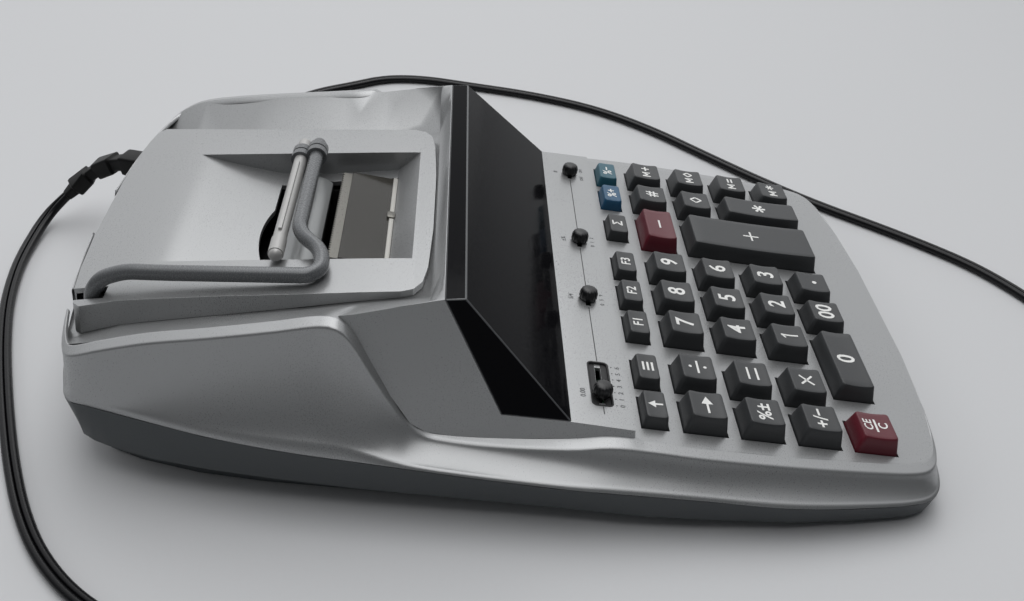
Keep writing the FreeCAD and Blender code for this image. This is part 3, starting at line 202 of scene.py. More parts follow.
# colour, metallic, roughness, grains per metre, mottle and depth of grain
finishes = {
    "silver_case": ((0.345, 0.35, 0.353), 0.60, 0.31, 3200.0, 0.05, 0.0000008),
    "dark_case": ((0.054, 0.061, 0.065), 0.0, 0.50, 1800.0, 0.20, 0.00003),
    "steel_bar": ((0.15, 0.145, 0.13), 0.6, 0.30, 2600.0, 0.15, 0.000008),
    "smoked_window": ((0.050, 0.047, 0.040), 0.0, 0.13, 900.0, 0.15, 0.000002),
    "display_black": ((0.006, 0.006, 0.007), 0.0, 0.09, 800.0, 0.20, 0.000001),
    "display_glass": ((0.02, 0.04, 0.04), 0.0, 0.06, 700.0, 0.10, 0.000001),
    "frame_black": ((0.020, 0.021, 0.022), 0.0, 0.55, 1500.0, 0.20, 0.00003),
    "board_green": ((0.020, 0.090, 0.040), 0.0, 0.45, 1200.0, 0.25, 0.00002),
    "mat_grey": ((0.060, 0.060, 0.062), 0.0, 0.70, 1500.0, 0.15, 0.00003),
    "foot_rubber": ((0.018, 0.018, 0.018), 0.0, 0.75, 1600.0, 0.20, 0.00004),
    "screw_steel": ((0.45, 0.45, 0.46), 1.0, 0.32, 2200.0, 0.20, 0.00001),
    "boot_rubber": ((0.006, 0.006, 0.006), 0.0, 0.45, 1600.0, 0.20, 0.00001),
    "cord_black": ((0.006, 0.006, 0.007), 0.0, 0.30, 1400.0, 0.15, 0.000004),
    "arm_grey": ((0.135, 0.14, 0.145), 0.25, 0.27, 2600.0, 0.04, 0.0000005),
    "spindle_grey": ((0.42, 0.415, 0.405), 0.25, 0.38, 1600.0, 0.04, 0.0000005),
    "platen_rubber": ((0.016, 0.016, 0.016), 0.0, 0.70, 1800.0, 0.25, 0.00004),
    "carriage_black": ((0.015, 0.015, 0.016), 0.0, 0.45, 1500.0, 0.20, 0.00002),
    "knob_black": ((0.010, 0.010, 0.011), 0.0, 0.33, 1800.0, 0.20, 0.00001),
    "key_charcoal": ((0.030, 0.032, 0.034), 0.0, 0.42, 2600.0, 0.22, 0.000012),
    "key_maroon": ((0.105, 0.008, 0.017), 0.0, 0.40, 2600.0, 0.20, 0.000012),
    "key_blue": ((0.012, 0.080, 0.165), 0.0, 0.40, 2600.0, 0.20, 0.000012),
    "key_teal": ((0.018, 0.100, 0.140), 0.0, 0.40, 2600.0, 0.20, 0.000012),
}
extraFinishes = {
    "legendWhite": ((0.80, 0.80, 0.78), 0.0, 0.45, 2600.0, 0.08, 0.000004),
    "printGrey": ((0.055, 0.058, 0.062), 0.0, 0.50, 2600.0, 0.10, 0.000004),
    # painted shade: black for the flat engraved lines and the slot's lining, standing in for the shade in
    # grooves and in a deep slot
    "grooveShadeBlack": ((0.012, 0.012, 0.013), 0.0, 0.60, 1800.0, 0.15, 0.00001),
    # painted highlight: a brighter silver for bevels and the crest's rounding, where a lit rounded edge would
    # shine
    "silverEdge": ((0.60, 0.61, 0.61), 0.55, 0.28, 3200.0, 0.08, 0.0000005),
    # painted highlight: a lighter black for the display wedge's bevels, standing in for the shine on its
    # rounded edges
    "blackEdge": ((0.075, 0.078, 0.082), 0.0, 0.18, 800.0, 0.10, 0.0000005),
    "domeGrey": ((0.36, 0.37, 0.37), 0.35, 0.34, 2600.0, 0.16, 0.000008),
    "trimPale": ((0.42, 0.41, 0.38), 0.1, 0.35, 2200.0, 0.12, 0.000006),
    "floorPale": ((0.60, 0.605, 0.615), 0.0, 0.70, 500.0, 0.03, 0.0),
}
shaderExtras = {
    "smoked_window": {"Transmission Weight": 0.25, "IOR": 1.35},
    "display_black": {"Specular IOR Level": 0.02},
    "boot_rubber": {"Specular IOR Level": 0.20},
    "cord_black": {"Specular IOR Level": 0.25},
}


def makeMaterial(name, finish):
    colour, metallic, roughness, grains, mottle, depth = finish
    material = bpy.data.materials.new(name)
    material.use_nodes = True
    tree = material.node_tree
    shader = tree.nodes["Principled BSDF"]
    grain = tree.nodes.new("ShaderNodeGroup")
    grain.node_tree = grainTree
    grain.inputs["Colour"].default_value = (*colour, 1.0)
    grain.inputs["Grain size"].default_value = grains
    grain.inputs["Mottle"].default_value = mottle
    grain.inputs["Roughness"].default_value = roughness
    grain.inputs["Depth"].default_value = depth
    tree.links.new(grain.outputs["Colour"], shader.inputs["Base Color"])
    tree.links.new(grain.outputs["Roughness"], shader.inputs["Roughness"])
    tree.links.new(grain.outputs["Normal"], shader.inputs["Normal"])
    shader.inputs["Metallic"].default_value = metallic
    for key, value in shaderExtras.get(name, {}).items():
        shader.inputs[key].default_value = value
    return material


materials = {name: makeMaterial(name, finish) for name, finish in {**finishes, **extraFinishes}.items()}


def paint(piece, name):
    piece.data.materials.clear()
    piece.data.materials.append(materials[name])


for nodeName, nodeObject in nodes.items():
    paint(nodeObject, slotOf[nodeName])
print("materials made:", len(materials))


def makeFloor(size):
    half = size / 2.0
    corners = [(-half, -half, 0), (half, -half, 0), (half, half, 0), (-half, half, 0)]
    mesh = bpy.data.meshes.new("floor")
    mesh.from_pydata(corners, [], [(0, 1, 2, 3)])
    floor = addObject("floor", mesh)
    paint(floor, "floorPale")


placeCamera(photoCamera)
lightStudio(studio)
makeFloor(studio["floorSize"])
print("studio made")


# Tools for making pieces

def newPiece(name, mesh, body, finish, standsFor=()):
    piece = addObject(name, mesh)
    paint(piece, finish)
    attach(piece, body)
    if standsFor:
        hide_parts(*standsFor)
    return piece


def softenEdges(piece, width, segments, angle, edgeHighlightFinish=None):
    bevel = piece.modifiers.new("softEdges", "BEVEL")
    # the finish given for the edges is a painted highlight, put on the bevel faces
    if edgeHighlightFinish:
        piece.data.materials.append(materials[edgeHighlightFinish])
        bevel.material = 1
    bevel.width = width
    bevel.segments = segments
    bevel.limit_method = "ANGLE"
    bevel.angle_limit = math.radians(angle)
    bevel.use_clamp_overlap = True
    bevel.miter_outer = "MITER_ARC"
    weighted = piece.modifiers.new("weightedNormals", "WEIGHTED_NORMAL")
    weighted.keep_sharp = True


solidTidy = {"weld": 0.000002, "flatAngle": 0.5}


def cleanSolid(node, settings=solidTidy):
    work = bmesh.new()
    work.from_mesh(nodes[node].data)
    bmesh.ops.remove_doubles(work, verts=work.verts, dist=settings["weld"])
    bmesh.ops.dissolve_limit(work, angle_limit=math.radians(settings["flatAngle"]),
                             verts=work.verts, edges=work.edges)
    return work


def finishMesh(work, name, sharpAngle=None):
    mesh = bpy.data.meshes.new(name)
    work.to_mesh(mesh)
    work.free()
    if sharpAngle:
        mesh.polygons.foreach_set("use_smooth", [True] * len(mesh.polygons))
        mesh.set_sharp_from_angle(angle=math.radians(sharpAngle))
    return mesh


def nodeCopy(node, name, body, bevelWidth=0.0, segments=2, angle=30.0, smoothAngle=35.0, edgeHighlightFinish=None):
    mesh = finishMesh(cleanSolid(node), name, smoothAngle)
    piece = newPiece(name, mesh, body, slotOf[node], standsFor=(node,))
    if bevelWidth:
        softenEdges(piece, bevelWidth, segments, angle, edgeHighlightFinish)
    return piece


# The keyboard deck's own frame: x across, s up the slope, n out of the deck

deck = {"anchorY": -0.12594, "anchorZ": 0.01842, "tilt": math.radians(6.0)}
deckCos, deckSin = math.cos(deck["tilt"]), math.sin(deck["tilt"])


def fromDeck(x, s, n):
    y = deck["anchorY"] + s * deckCos - n * deckSin
    return Vector((x, y, deck["anchorZ"] + s * deckSin + n * deckCos))


def toDeck(point):
    y, z = point[1] - deck["anchorY"], point[2] - deck["anchorZ"]
    return Vector((point[0], y * deckCos + z * deckSin, z * deckCos - y * deckSin))


def roundedLoop(halfX, halfS, corner, perCorner=5, perSide=6):
    loop = []
    signs = ((1, 1), (-1, 1), (-1, -1), (1, -1))
    for index, (sx, sy) in enumerate(signs):
        centre = (sx * (halfX - corner), sy * (halfS - corner))
        for step in range(perCorner + 1):
            angle = math.radians(90.0 * index + 90.0 * step / perCorner)
            loop.append((centre[0] + corner * math.cos(angle), centre[1] + corner * math.sin(angle)))
        nx, ny = signs[(index + 1) % 4]
        following = (nx * (halfX - corner), ny * (halfS - corner))
        last = loop[-1]
        if index % 2 == 0:
            target = (following[0], last[1])
        else:
            target = (last[0], following[1])
        for step in range(1, perSide):
            share = step / perSide
            loop.append((last[0] + share * (target[0] - last[0]), last[1] + share * (target[1] - last[1])))
    return loop


# a skin over loops of equal count, from the lowest to the highest
def skinLoops(loops, name="loops", sharpAngle=None, closeTop=True):
    work = bmesh.new()
    rings = [[work.verts.new(point) for point in loop] for loop in loops]
    count = len(rings[0])
    for low, high in zip(rings, rings[1:]):
        for i in range(count):
            j = (i + 1) % count
            work.faces.new((low[i], low[j], high[j], high[i]))
    if closeTop:
        work.faces.new(rings[-1])
    bmesh.ops.recalc_face_normals(work, faces=work.faces)
    for face in work.faces:
        face.smooth = True
    return finishMesh(work, name, sharpAngle)


# The mains cord: route on the table, then its put-away turns

# from the boot down to the table, then laid on it: x and y
cordFall = [(0.0685, 0.1950, 0.0125), (0.0658, 0.2008, 0.0074),
            (0.0585, 0.2040, 0.0042), (0.0485, 0.2050, 0.0029)]
cordLay = [
    (0.0360, 0.2053), (0.0210, 0.2040), (-0.0010, 0.2000), (-0.0250, 0.1930), (-0.0490, 0.1846),
    (-0.0700, 0.1766), (-0.0910, 0.1680), (-0.1120, 0.1580), (-0.1300, 0.1466), (-0.1460, 0.1310),
    (-0.1570, 0.1120), (-0.1640, 0.0880), (-0.1680, 0.0580), (-0.1690, 0.0220), (-0.1670, -0.0160),
    (-0.1640, -0.0540), (-0.1620, -0.0920), (-0.1570, -0.1280), (-0.1460, -0.1620), (-0.1270, -0.1900),
    (-0.1000, -0.2120), (-0.0660, -0.2290), (-0.0300, -0.2410), (0.0000, -0.2460), (0.0200, -0.2445),
    (0.0370, -0.2370), (0.0580, -0.2230), (0.0750, -0.2050), (0.0920, -0.1840), (0.1100, -0.1600),
    (0.1320, -0.1360), (0.1580, -0.1110), (0.1850, -0.0860), (0.2080, -0.0560), (0.2220, -0.0200),
    (0.2295, 0.0140), (0.2360, 0.0420), (0.2340, 0.0640), (0.2220, 0.0820), (0.2120, 0.0990),
    (0.1990, 0.1120), (0.1840, 0.1185),
]
layHeight = 0.0020
cordRoute = cordFall + [(x, y, layHeight) for x, y in cordLay]
mainsCord = {
    "length": 1.84,
    "width": 0.0055,
    "coreRadius": 0.00165,
    "coreOffset": 0.00112,
    "waist": 42.0,  # degrees of each core's circle that its neighbour takes
    "coreSteps": 10,
    "coilStart": (0.1670, 0.1170, layHeight),
    # radius and how many half turns: inwards, up to the second layer, and outwards again
    "coilTurns": ((0.033, 0.5), (0.030, 1.0), (0.027, 1.0), (0.024, 1.0),
                  (0.027, 1.0), (0.030, 1.0), (0.033, 1.0)),
    "climbingTurn": 3,
    "layerRise": 0.0039,
    "leadIn": 0.0065,
    "plugLead": 0.030,
    "pointsPerHalfTurn": 12,
}


def coilPoints(settings):
    start = Vector(settings["coilStart"])
    heading = start - Vector(cordRoute[-1])
    heading.z = 0.0
    heading.normalize()
    perHalf = settings["pointsPerHalfTurn"]
    swell = 1.0 / math.cos(math.pi / perHalf / 2.0)
    points = [start]
    point = start + heading * settings["leadIn"]
    height = start.z
    for index, (radius, halfTurns) in enumerate(settings["coilTurns"]):
        rise = settings["layerRise"] if index == settings["climbingTurn"] else 0.0
        left = Vector((-heading.y, heading.x, 0.0))
        centre = point + left * radius
        steps = int(perHalf * halfTurns)
        for step in range(steps):
            share = (step + 0.5) / steps
            angle = math.pi * halfTurns * share
            offset = (heading * math.sin(angle) - left * math.cos(angle)) * radius * swell
            points.append(Vector((centre.x + offset.x, centre.y + offset.y, height + rise * share)))
        turned = math.pi * halfTurns
        point = centre + (heading * math.sin(turned) - left * math.cos(turned)) * radius
        heading = heading * math.cos(turned) + left * math.sin(turned)
        height += rise
    points.append(Vector((point.x, point.y, height)))
    plugEnd = Vector((point.x, point.y, height)) + heading * settings["plugLead"]
    points.append(plugEnd - heading * (settings["plugLead"] * 0.5))
    points.append(plugEnd)
    return points


def flatProfile(settings):
    data = bpy.data.curves.new("cordProfile", "CURVE")
    data.dimensions = "2D"
    outline = []
    waist = math.radians(settings["waist"])
    for side in (1, -1):
        for step in range(settings["coreSteps"] + 1):
            angle = -math.pi + waist + (2.0 * math.pi - 2.0 * waist) * step / settings["coreSteps"]
            outline.append((side * (settings["coreOffset"] + settings["coreRadius"] * math.cos(angle)),
                            side * settings["coreRadius"] * math.sin(angle)))
    spline = data.splines.new("POLY")
    spline.points.add(len(outline) - 1)
    for target, (x, y) in zip(spline.points, outline):
        target.co = (x, y, 0.0, 1.0)
    spline.use_cyclic_u = True
    profile = addObject("cordProfile", data)
    profile.hide_render = True
    profile.hide_viewport = True
    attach(profile, "case")
    return profile


def makeCord(settings):
    data = bpy.data.curves.new("mainsCord", "CURVE")
    data.dimensions = "3D"
    data.resolution_u = 8
    data.twist_mode = "Z_UP"
    data.use_fill_caps = True
    data.bevel_mode = "OBJECT"
    data.bevel_object = flatProfile(settings)
    points = [Vector(point) for point in cordRoute] + coilPoints(settings)
    spline = data.splines.new("NURBS")
    spline.points.add(len(points) - 1)
    for target, point in zip(spline.points, points):
        target.co = (*point, 1.0)
    spline.order_u = 3
    spline.use_endpoint_u = True
    cord = addObject("mainsCord", data)
    cord.data.materials.append(materials["cord_black"])
    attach(cord, "case")
    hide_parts("cord_lead", "cord_coil")
    return cord


strainRelief = {
    "route": ((0.0650, 0.1460, 0.0310), (0.0650, 0.1535, 0.0310), (0.0675, 0.1655, 0.0313),
              (0.0715, 0.1765, 0.0270), (0.0725, 0.1865, 0.0200), (0.0685, 0.1950, 0.0125)),
    "segments": 4,
    "steps": 24,
    "endSize": 0.62,
    "width": (0.0112, 0.0078),
    "height": (0.0094, 0.0062),
    "corner": 0.0012,
    "sharpAngle": 40.0,
    # along each segment: share of its length, share of the full section
    "collar": ((0.0, 0.74), (0.05, 0.76), (0.09, 1.0), (0.62, 1.05), (0.68, 1.02), (0.72, 0.74)),
}


# points on a smooth line through the given ones, with its directions
def smoothThrough(points, steps):
    given = [Vector(point) for point in points]
    chain = [given[0] * 2 - given[1]] + given + [given[-1] * 2 - given[-2]]
    line = []
    for a, b, c, d in zip(chain, chain[1:], chain[2:], chain[3:]):
        for step in range(steps):
            t = step / steps
            line.append(0.5 * (2 * b + (c - a) * t + (2 * a - 5 * b + 4 * c - d) * t * t
                               + (3 * b - a - 3 * c + d) * t ** 3))
    line.append(given[-1])
    directions = []
    for index in range(len(line)):
        ahead, behind = line[min(index + 1, len(line) - 1)], line[max(index - 1, 0)]
        directions.append((ahead - behind).normalized())
    return line, directions


def makeBoot(settings):
    line, directions = smoothThrough(settings["route"], settings["steps"])
    last = len(line) - 1
    loops = []
    shares = []
    for segment in range(settings["segments"]):
        for at, size in settings["collar"]:
            shares.append(((segment + at) / settings["segments"], size))
    shares.append((1.0, settings["endSize"]))
    for share, size in shares:
        place = share * last
        low = min(int(place), last - 1)
        centre = line[low].lerp(line[low + 1], place - low)
        forward = directions[low]
        across = forward.cross(Vector((0, 0, 1))).normalized()
        upward = across.cross(forward)
        halfWidth, halfHeight = [size * (first + share * (end - first)) / 2
                                 for first, end in (settings["width"], settings["height"])]
        loops.append([centre + across * u + upward * v
                      for u, v in roundedLoop(halfWidth, halfHeight, settings["corner"], 4, 2)])
    mesh = skinLoops(loops, "strainRelief", settings["sharpAngle"])
    return newPiece("strainRelief", mesh, "case", "boot_rubber", standsFor=("cord_boot",))


cord = makeCord(mainsCord)
boot = makeBoot(strainRelief)
plug = nodeCopy("plug", "mainsPlug", "case", 0.0004, 2)
print("cord laid")


# Shells: the sides of the upper shell are drawn anew as one smooth skin, the rest follows the solids

shell = {  # millimetres, the right half, from the rear to the front
    # y, half width and height of the crest at the top of the side
    "crest": (
        (155.25, 20.0, 46.6), (153.2, 46.0, 46.8), (151.0, 62.0, 47.0), (148.8, 74.0, 47.2),
        (146.4, 83.0, 47.4), (143.5, 88.6, 48.2), (139.0, 90.6, 50.2), (133.75, 91.0, 52.1),
        (118.75, 90.1, 55.2), (98.75, 89.5, 57.9), (78.75, 88.3, 60.5), (63.75, 87.4, 62.6),
        (58.45, 88.5, 62.6), (54.2, 89.6, 59.0), (47.75, 92.0, 48.7), (41.25, 94.0, 38.4),
        (34.65, 96.0, 30.0), (29.5, 97.3, 27.3), (21.45, 98.2, 26.2), (5.15, 99.5, 25.6),
        (-19.25, 100.5, 26.0), (-30.95, 100.6, 27.2), (-45.85, 100.9, 26.3), (-61.85, 101.6, 24.7),
        (-93.85, 100.9, 21.3), (-125.85, 98.8, 17.9), (-136.55, 97.6, 16.8), (-142.5, 95.9, 16.2),
        (-146.5, 92.6, 15.8), (-149.75, 85.5, 15.4), (-153.0, 66.0, 15.1), (-155.25, 34.0, 14.8),
    ),
    # y and half width where the upper and lower shells meet
    "parting": (
        (155.25, 36.0), (153.2, 62.0), (151.0, 74.0), (148.8, 82.0), (146.4, 88.6), (143.5, 91.0),
        (139.0, 92.0), (126.75, 95.0), (103.75, 101.0), (73.75, 105.8), (49.75, 107.5), (17.75, 110.0),
        (-14.25, 112.0), (-95.25, 112.0), (-117.25, 109.4), (-132.0, 106.6), (-138.5, 105.0),
        (-142.5, 103.2), (-146.5, 99.8), (-149.75, 94.0), (-153.0, 77.0), (-155.25, 44.0),
    ),
    "partingHeight": 20.1,
    "partingSlope": 0.075,
    "sideHollow": 0.38,
    "foldWidth": 4.5,
    "foldRise": 1.0,
    "flatDeckY": -40.0,
    "crestRound": 0.9,
    "roundLimit": (0.9, 0.2),  # largest share of the last steps of the side, and their least length
    "seamDepth": 0.7,
    # the seam over the parting edge: share of its depth and height, then the lip where the side begins
    "seamPoints": ((1.0, 0.05), (0.25, 0.08)),
    "seamLip": (0.03, 0.4),
    "sideSteps": 14,
    "crestSteps": 6,
    "guard": 1.25,  # lines just outside the crest's rounding, as shares of it
    "beyond": 1.3,
    "foldLine": 0.9,  # share of the fold's width
    "tuck": 2.0,  # how far the fold runs on under the panel, and how deep by y
    "tuckDrop": ((155.25, 1.75), (66.0, 1.75), (50.0, 0.35), (-155.25, 0.35)),
    "step": 2.0,
    "leastSpan": 0.01,
    "reach": (0.6, 1.2),  # how near to the side a face's corners and middle are, to be drawn anew
    "sharpAngle": 22.0,
    # the notch in the rear edge for the swung arm: left, right, lowest height and first y
    "armNotch": (-63.0, -51.4, 39.6, 138.0),
}


# values at y on a line of stations
def along(line, y):
    for ahead, behind in zip(line, line[1:]):
        if ahead[0] >= y >= behind[0]:
            share = (ahead[0] - y) / (ahead[0] - behind[0])
            return [a + share * (b - a) for a, b in zip(ahead[1:], behind[1:])]
    return list((line[0] if y > 0 else line[-1])[1:])


# parting edge, hollow, crest and inner edge of the fold at one station
def sideOutline(y, crestX, crestZ, partX):
    partZ = shell["partingHeight"] + shell["partingSlope"] * y
    share = shell["sideHollow"]
    hollow = (crestX + share * (partX - crestX), partZ + share * (crestZ - partZ))
    foldZ = crestZ + shell["foldRise"]
    if y < shell["flatDeckY"]:
        foldZ = deck["anchorZ"] * 1000.0 + (y - deck["anchorY"] * 1000.0) * math.tan(deck["tilt"])
    return (partX, partZ), hollow, (crestX, crestZ), (crestX - shell["foldWidth"], foldZ)


# whether a point in metres lies on the side, from the parting edge to the fold
def onSide(point, reach):
    x, y, z = abs(point.x) * 1000.0, point.y * 1000.0, point.z * 1000.0
    crestX, crestZ = along(shell["crest"], y)
    outline = sideOutline(y, crestX, crestZ, along(shell["parting"], y)[0])
    for (ax, az), (bx, bz) in zip(outline, outline[1:]):
        dx, dz = bx - ax, bz - az
        share = max(0.0, min(1.0, ((x - ax) * dx + (z - az) * dz) / (dx * dx + dz * dz)))
        if math.hypot(x - ax - share * dx, z - az - share * dz) < reach:
            return True
    return False


# stations along the side at even steps, on one smooth curve through the given ones
def smoothStations():
    given = [Vector((y, w, z, along(shell["parting"], y)[0])) for y, w, z in shell["crest"]]
    before, after = given[0] * 2 - given[1], given[-1] * 2 - given[-2]
    chain = [before] + given + [after]
    stations = []
    for a, b, c, d in zip(chain, chain[1:], chain[2:], chain[3:]):
        spans = [max((q - p).length, shell["leastSpan"]) ** 0.5 for p, q in ((a, b), (b, c), (c, d))]
        leaving = (b - a) / spans[0] - (c - a) / (spans[0] + spans[1]) + (c - b) / spans[1]
        arriving = (c - b) / spans[1] - (d - b) / (spans[1] + spans[2]) + (d - c) / spans[2]
        leaving, arriving = leaving * spans[1], arriving * spans[1]
        count = max(2, int((c - b).length / shell["step"]))
        for step in range(count):
            t = step / count
            stations.append(b * (2 * t ** 3 - 3 * t * t + 1) + c * (3 * t * t - 2 * t ** 3)
                            + leaving * (t ** 3 - 2 * t * t + t) + arriving * (t ** 3 - t * t))
    return stations + [given[-1]]


# points on a curve from start to end, drawn towards control
def bend(start, control, end, count):
    points = []
    for step in range(count + 1):
        t = step / count
        points.append(tuple((1 - t) ** 2 * a + 2 * t * (1 - t) * b + t * t * c
                            for a, b, c in zip(start, control, end)))
    return points


def skinPoints(y, crestX, crestZ, partX):
    part, hollow, crest, fold = sideOutline(y, crestX, crestZ, partX)
    pull = tuple(2 * h - (p + c) / 2 for h, p, c in zip(hollow, part, crest))
    side = bend(part, pull, crest, shell["sideSteps"])
    reach = math.hypot(side[-3][0] - crest[0], side[-3][1] - crest[1])
    most, least = shell["roundLimit"]
    first = min(most, shell["crestRound"] / max(reach, least))
    entry, guard = [tuple(c + share * (a - c) for a, c in zip(side[-3], side[-1]))
                    for share in (first, shell["guard"] * first)]
    bendShare = shell["crestRound"] / math.hypot(fold[0] - crest[0], fold[1] - crest[1])
    leave, beyond, near = [tuple(c + (f - c) * share for c, f in zip(crest, fold))
                           for share in (bendShare, shell["beyond"] * bendShare, shell["foldLine"])]
    points = [(part[0] - shell["seamDepth"] * share, part[1] + rise)
              for share, rise in shell["seamPoints"]]
    points.append((part[0] - shell["seamLip"][0], part[1] + shell["seamLip"][1]))
    points += side[2:-2]
    points.append(guard)
    points += bend(entry, crest, leave, shell["crestSteps"])
    points += [beyond, near, fold]
    points.append((fold[0] - shell["tuck"], fold[1] - along(shell["tuckDrop"], y)[0]))
    return points


def cutArmNotch(skin):
    left, right, lowest, first = [value / 1000.0 for value in shell["armNotch"]]
    margin = 0.02
    cuts = (((left, 0, 0), (1, 0, 0)), ((right, 0, 0), (1, 0, 0)), ((0, 0, lowest), (0, 0, 1)))
    for place, direction in cuts:
        near = []
        for face in skin.faces:
            x, y, z = face.calc_center_median()
            if left - margin < x < right + margin and y > first:
                near.append(face)
        edges = {edge for face in near for edge in face.edges}
        corners = {vertex for face in near for vertex in face.verts}
        bmesh.ops.bisect_plane(skin, geom=[*near, *edges, *corners], plane_co=place, plane_no=direction)
    inside = []
    for face in skin.faces:
        x, y, z = face.calc_center_median()
        if left < x < right and y > first and z > lowest:
            inside.append(face)
    bmesh.ops.delete(skin, geom=inside, context="FACES")


def makeUpperShell():
    work = cleanSolid("upper_case")
    cornerReach, middleReach = shell["reach"]
    old = [face for face in work.faces
           if all(onSide(vertex.co, cornerReach) for vertex in face.verts)
           and onSide(face.calc_center_median(), middleReach)]
    bmesh.ops.delete(work, geom=old, context="FACES")
    rest = finishMesh(work, "upperShell", shell["sharpAngle"])
    print("side faces replaced:", len(old))
    stations = smoothStations()
    skin = bmesh.new()
    for side in (-1.0, 1.0):
        rows = []
        for y, crestX, crestZ, partX in stations:
            rows.append([skin.verts.new((side * x / 1000.0, y / 1000.0, z / 1000.0))
                         for x, z in skinPoints(y, crestX, crestZ, partX)])
        first = len(rows[0]) - shell["crestSteps"] - 4
        # painted highlight: these faces in the middle of the crest's rounding take the brighter silver
        crestHighlightFaces = range(first, first + 4)  # the middle of the crest's rounding
        for here, ahead in zip(rows, rows[1:]):
            for i in range(len(here) - 1):
                corners = (here[i], here[i + 1], ahead[i + 1], ahead[i])
                face = skin.faces.new(corners if side > 0 else corners[::-1])
                face.material_index = int(i in crestHighlightFaces)
    cutArmNotch(skin)
    for face in skin.faces:
        face.smooth = True
    flank = finishMesh(skin, "upperSides")
    newPiece("upperShell", rest, "case", "silver_case", standsFor=("upper_case",))
    sides = newPiece("upperSides", flank, "case", "silver_case", standsFor=("upper_case",))
    # painted highlight: the second material, brighter silver, goes on the crest's rounding
    sides.data.materials.append(materials["silverEdge"])


makeUpperShell()
softenedNodes = {
    # node: piece, bevel width, segments, least angle bevelled, sharp angle, finish of the painted highlight
    # on the edges
    "lower_case": ("lowerShell", 0.0005, 2, 30.0, 30.0, None),
    "printer_cover": ("coverShell", 0.0005, 3, 24.0, 30.0, "silverEdge"),
    # the display wedge's bevels take a painted highlight
    "display_window": ("displayWedge", 0.0004, 2, 25.0, 30.0, "blackEdge"),
    "paper_window": ("smokedPane", 0.0002, 2, 30.0, 35.0, None),
}
for nodeName, (pieceName, *edges) in softenedNodes.items():
    nodeCopy(nodeName, pieceName, "case", *edges)

rollSpindle = {"bevel": 0.0003, "angle": 40.0, "collar": (0.0274, 0.0350)}


def makeSpindle(settings):
    spindle = nodeCopy("roll_spindle", "rollSpindle", "paper_arm", settings["bevel"], 2,
                       settings["angle"], settings["angle"])
    spindle.data.materials.append(materials["arm_grey"])
    left, right = settings["collar"]
    for facet in spindle.data.polygons:
        if left < facet.center.x < right:
            facet.material_index = 1


makeSpindle(rollSpindle)

# the pale skin over the paper guide behind the tear bar
platenDome = {
    "y": 0.07975,
    "z": 0.0380,
    "radius": 0.01058,
    "halfSpan": 0.0074,
    "halfWidth": 0.0324,
    "thickness": 0.03,  # share of the radius
    "rim": 0.0004,
    "steps": 14,
    "sharpAngle": 40.0,
}


def makeDome(settings):
    y0, z0, radius = settings["y"], settings["z"], settings["radius"]
    widest = math.asin(settings["halfSpan"] / radius)
    outer = []
    for index in range(settings["steps"] + 1):
        angle = -widest + 2.0 * widest * index / settings["steps"]
        outer.append((y0 + radius * math.sin(angle), z0 + radius * math.cos(angle)))
    inner = [(y + (y0 - y) * settings["thickness"], z + (z0 - z) * settings["thickness"]) for y, z in outer]
    end, rim = settings["halfWidth"], settings["rim"]
    rows = [[Vector((x, y, z)) for y, z in outer + inner[::-1]] for x in (-end, -end + rim, end - rim, end)]
    mesh = skinLoops(rows, "platenDome", settings["sharpAngle"])
    newPiece("platenDome", mesh, "case", "domeGrey")


makeDome(platenDome)

windowTrim = {
    # y and z of the pane's front and rear edges
    "front": (0.04595, 0.0493),
    "rear": (0.06695, 0.0522),
    "sunk": 0.0004,
    "rounding": ((0.0002, 0.0), (0.00006, 0.00006), (0.0, 0.0002)),  # below the top, and inwards
    # piece: place across and up the pane, half sizes, height over the pane, finish, slot
    "bars": {
        "windowFrontStrip": (0.0, 0.0007, 0.0314, 0.0009, 0.0006, "trimPale", "smoked_window"),
        "windowClip": (0.0020, 0.0010, 0.0022, 0.0015, 0.0011, "steel_bar", None),
    },
}


def makeWindowTrim(settings):
    (y0, z0), (y1, z1) = settings["front"], settings["rear"]
    length = math.hypot(y1 - y0, z1 - z0)
    up = Vector((0.0, (y1 - y0) / length, (z1 - z0) / length))
    out = Vector((0.0, -up.z, up.y))
    for name, (x, rise, halfX, halfS, height, finish, slot) in settings["bars"].items():
        levels = [(-settings["sunk"], 0.0)] + [(height - drop, inset) for drop, inset in settings["rounding"]]
        corner = min(halfX, halfS) * 0.5
        loops = [[Vector((x + u, y0, z0)) + up * (rise + v) + out * level
                  for u, v in roundedLoop(halfX - inset, halfS - inset, corner, 4, 3)]
                 for level, inset in levels]
        newPiece(name, skinLoops(loops, name), "case", finish)


makeWindowTrim(windowTrim)
print("shells made")


# Keys

keyShape = {
    "footFrom": -0.0003,  # what stands above this height over the deck is the foot
    "crownDepth": 0.0001,  # and what lies this near to the top is the crown
    "corner": 0.0013,
    "leastCorner": 0.0004,
    "dish": 0.0006,
    "dishLength": 0.0121,  # shorter tops have a shallower dish
    "edge": 0.0006,
    "edgeTurns": (30.0, 60.0, 90.0),
    "edgeInset": 0.6,  # share of the edge's height
    "topRings": (0.8, 0.55, 0.3, 0.1),
    "topCorner": 0.8,  # share of the corner
    "skirt": -0.0015,
    "sharpAngle": 50.0,
    "legendLift": 0.00006,
    "legendHalf": 0.00015,
    "legendBold": 0.9,
    "legendCuts": [level * 0.001 for level in range(-6, 7)],
}


# middle and length of some points along one axis
def extent(points, axis):
    low, high = [pick(point[axis] for point in points) for pick in (min, max)]
    return (high + low) / 2.0, high - low


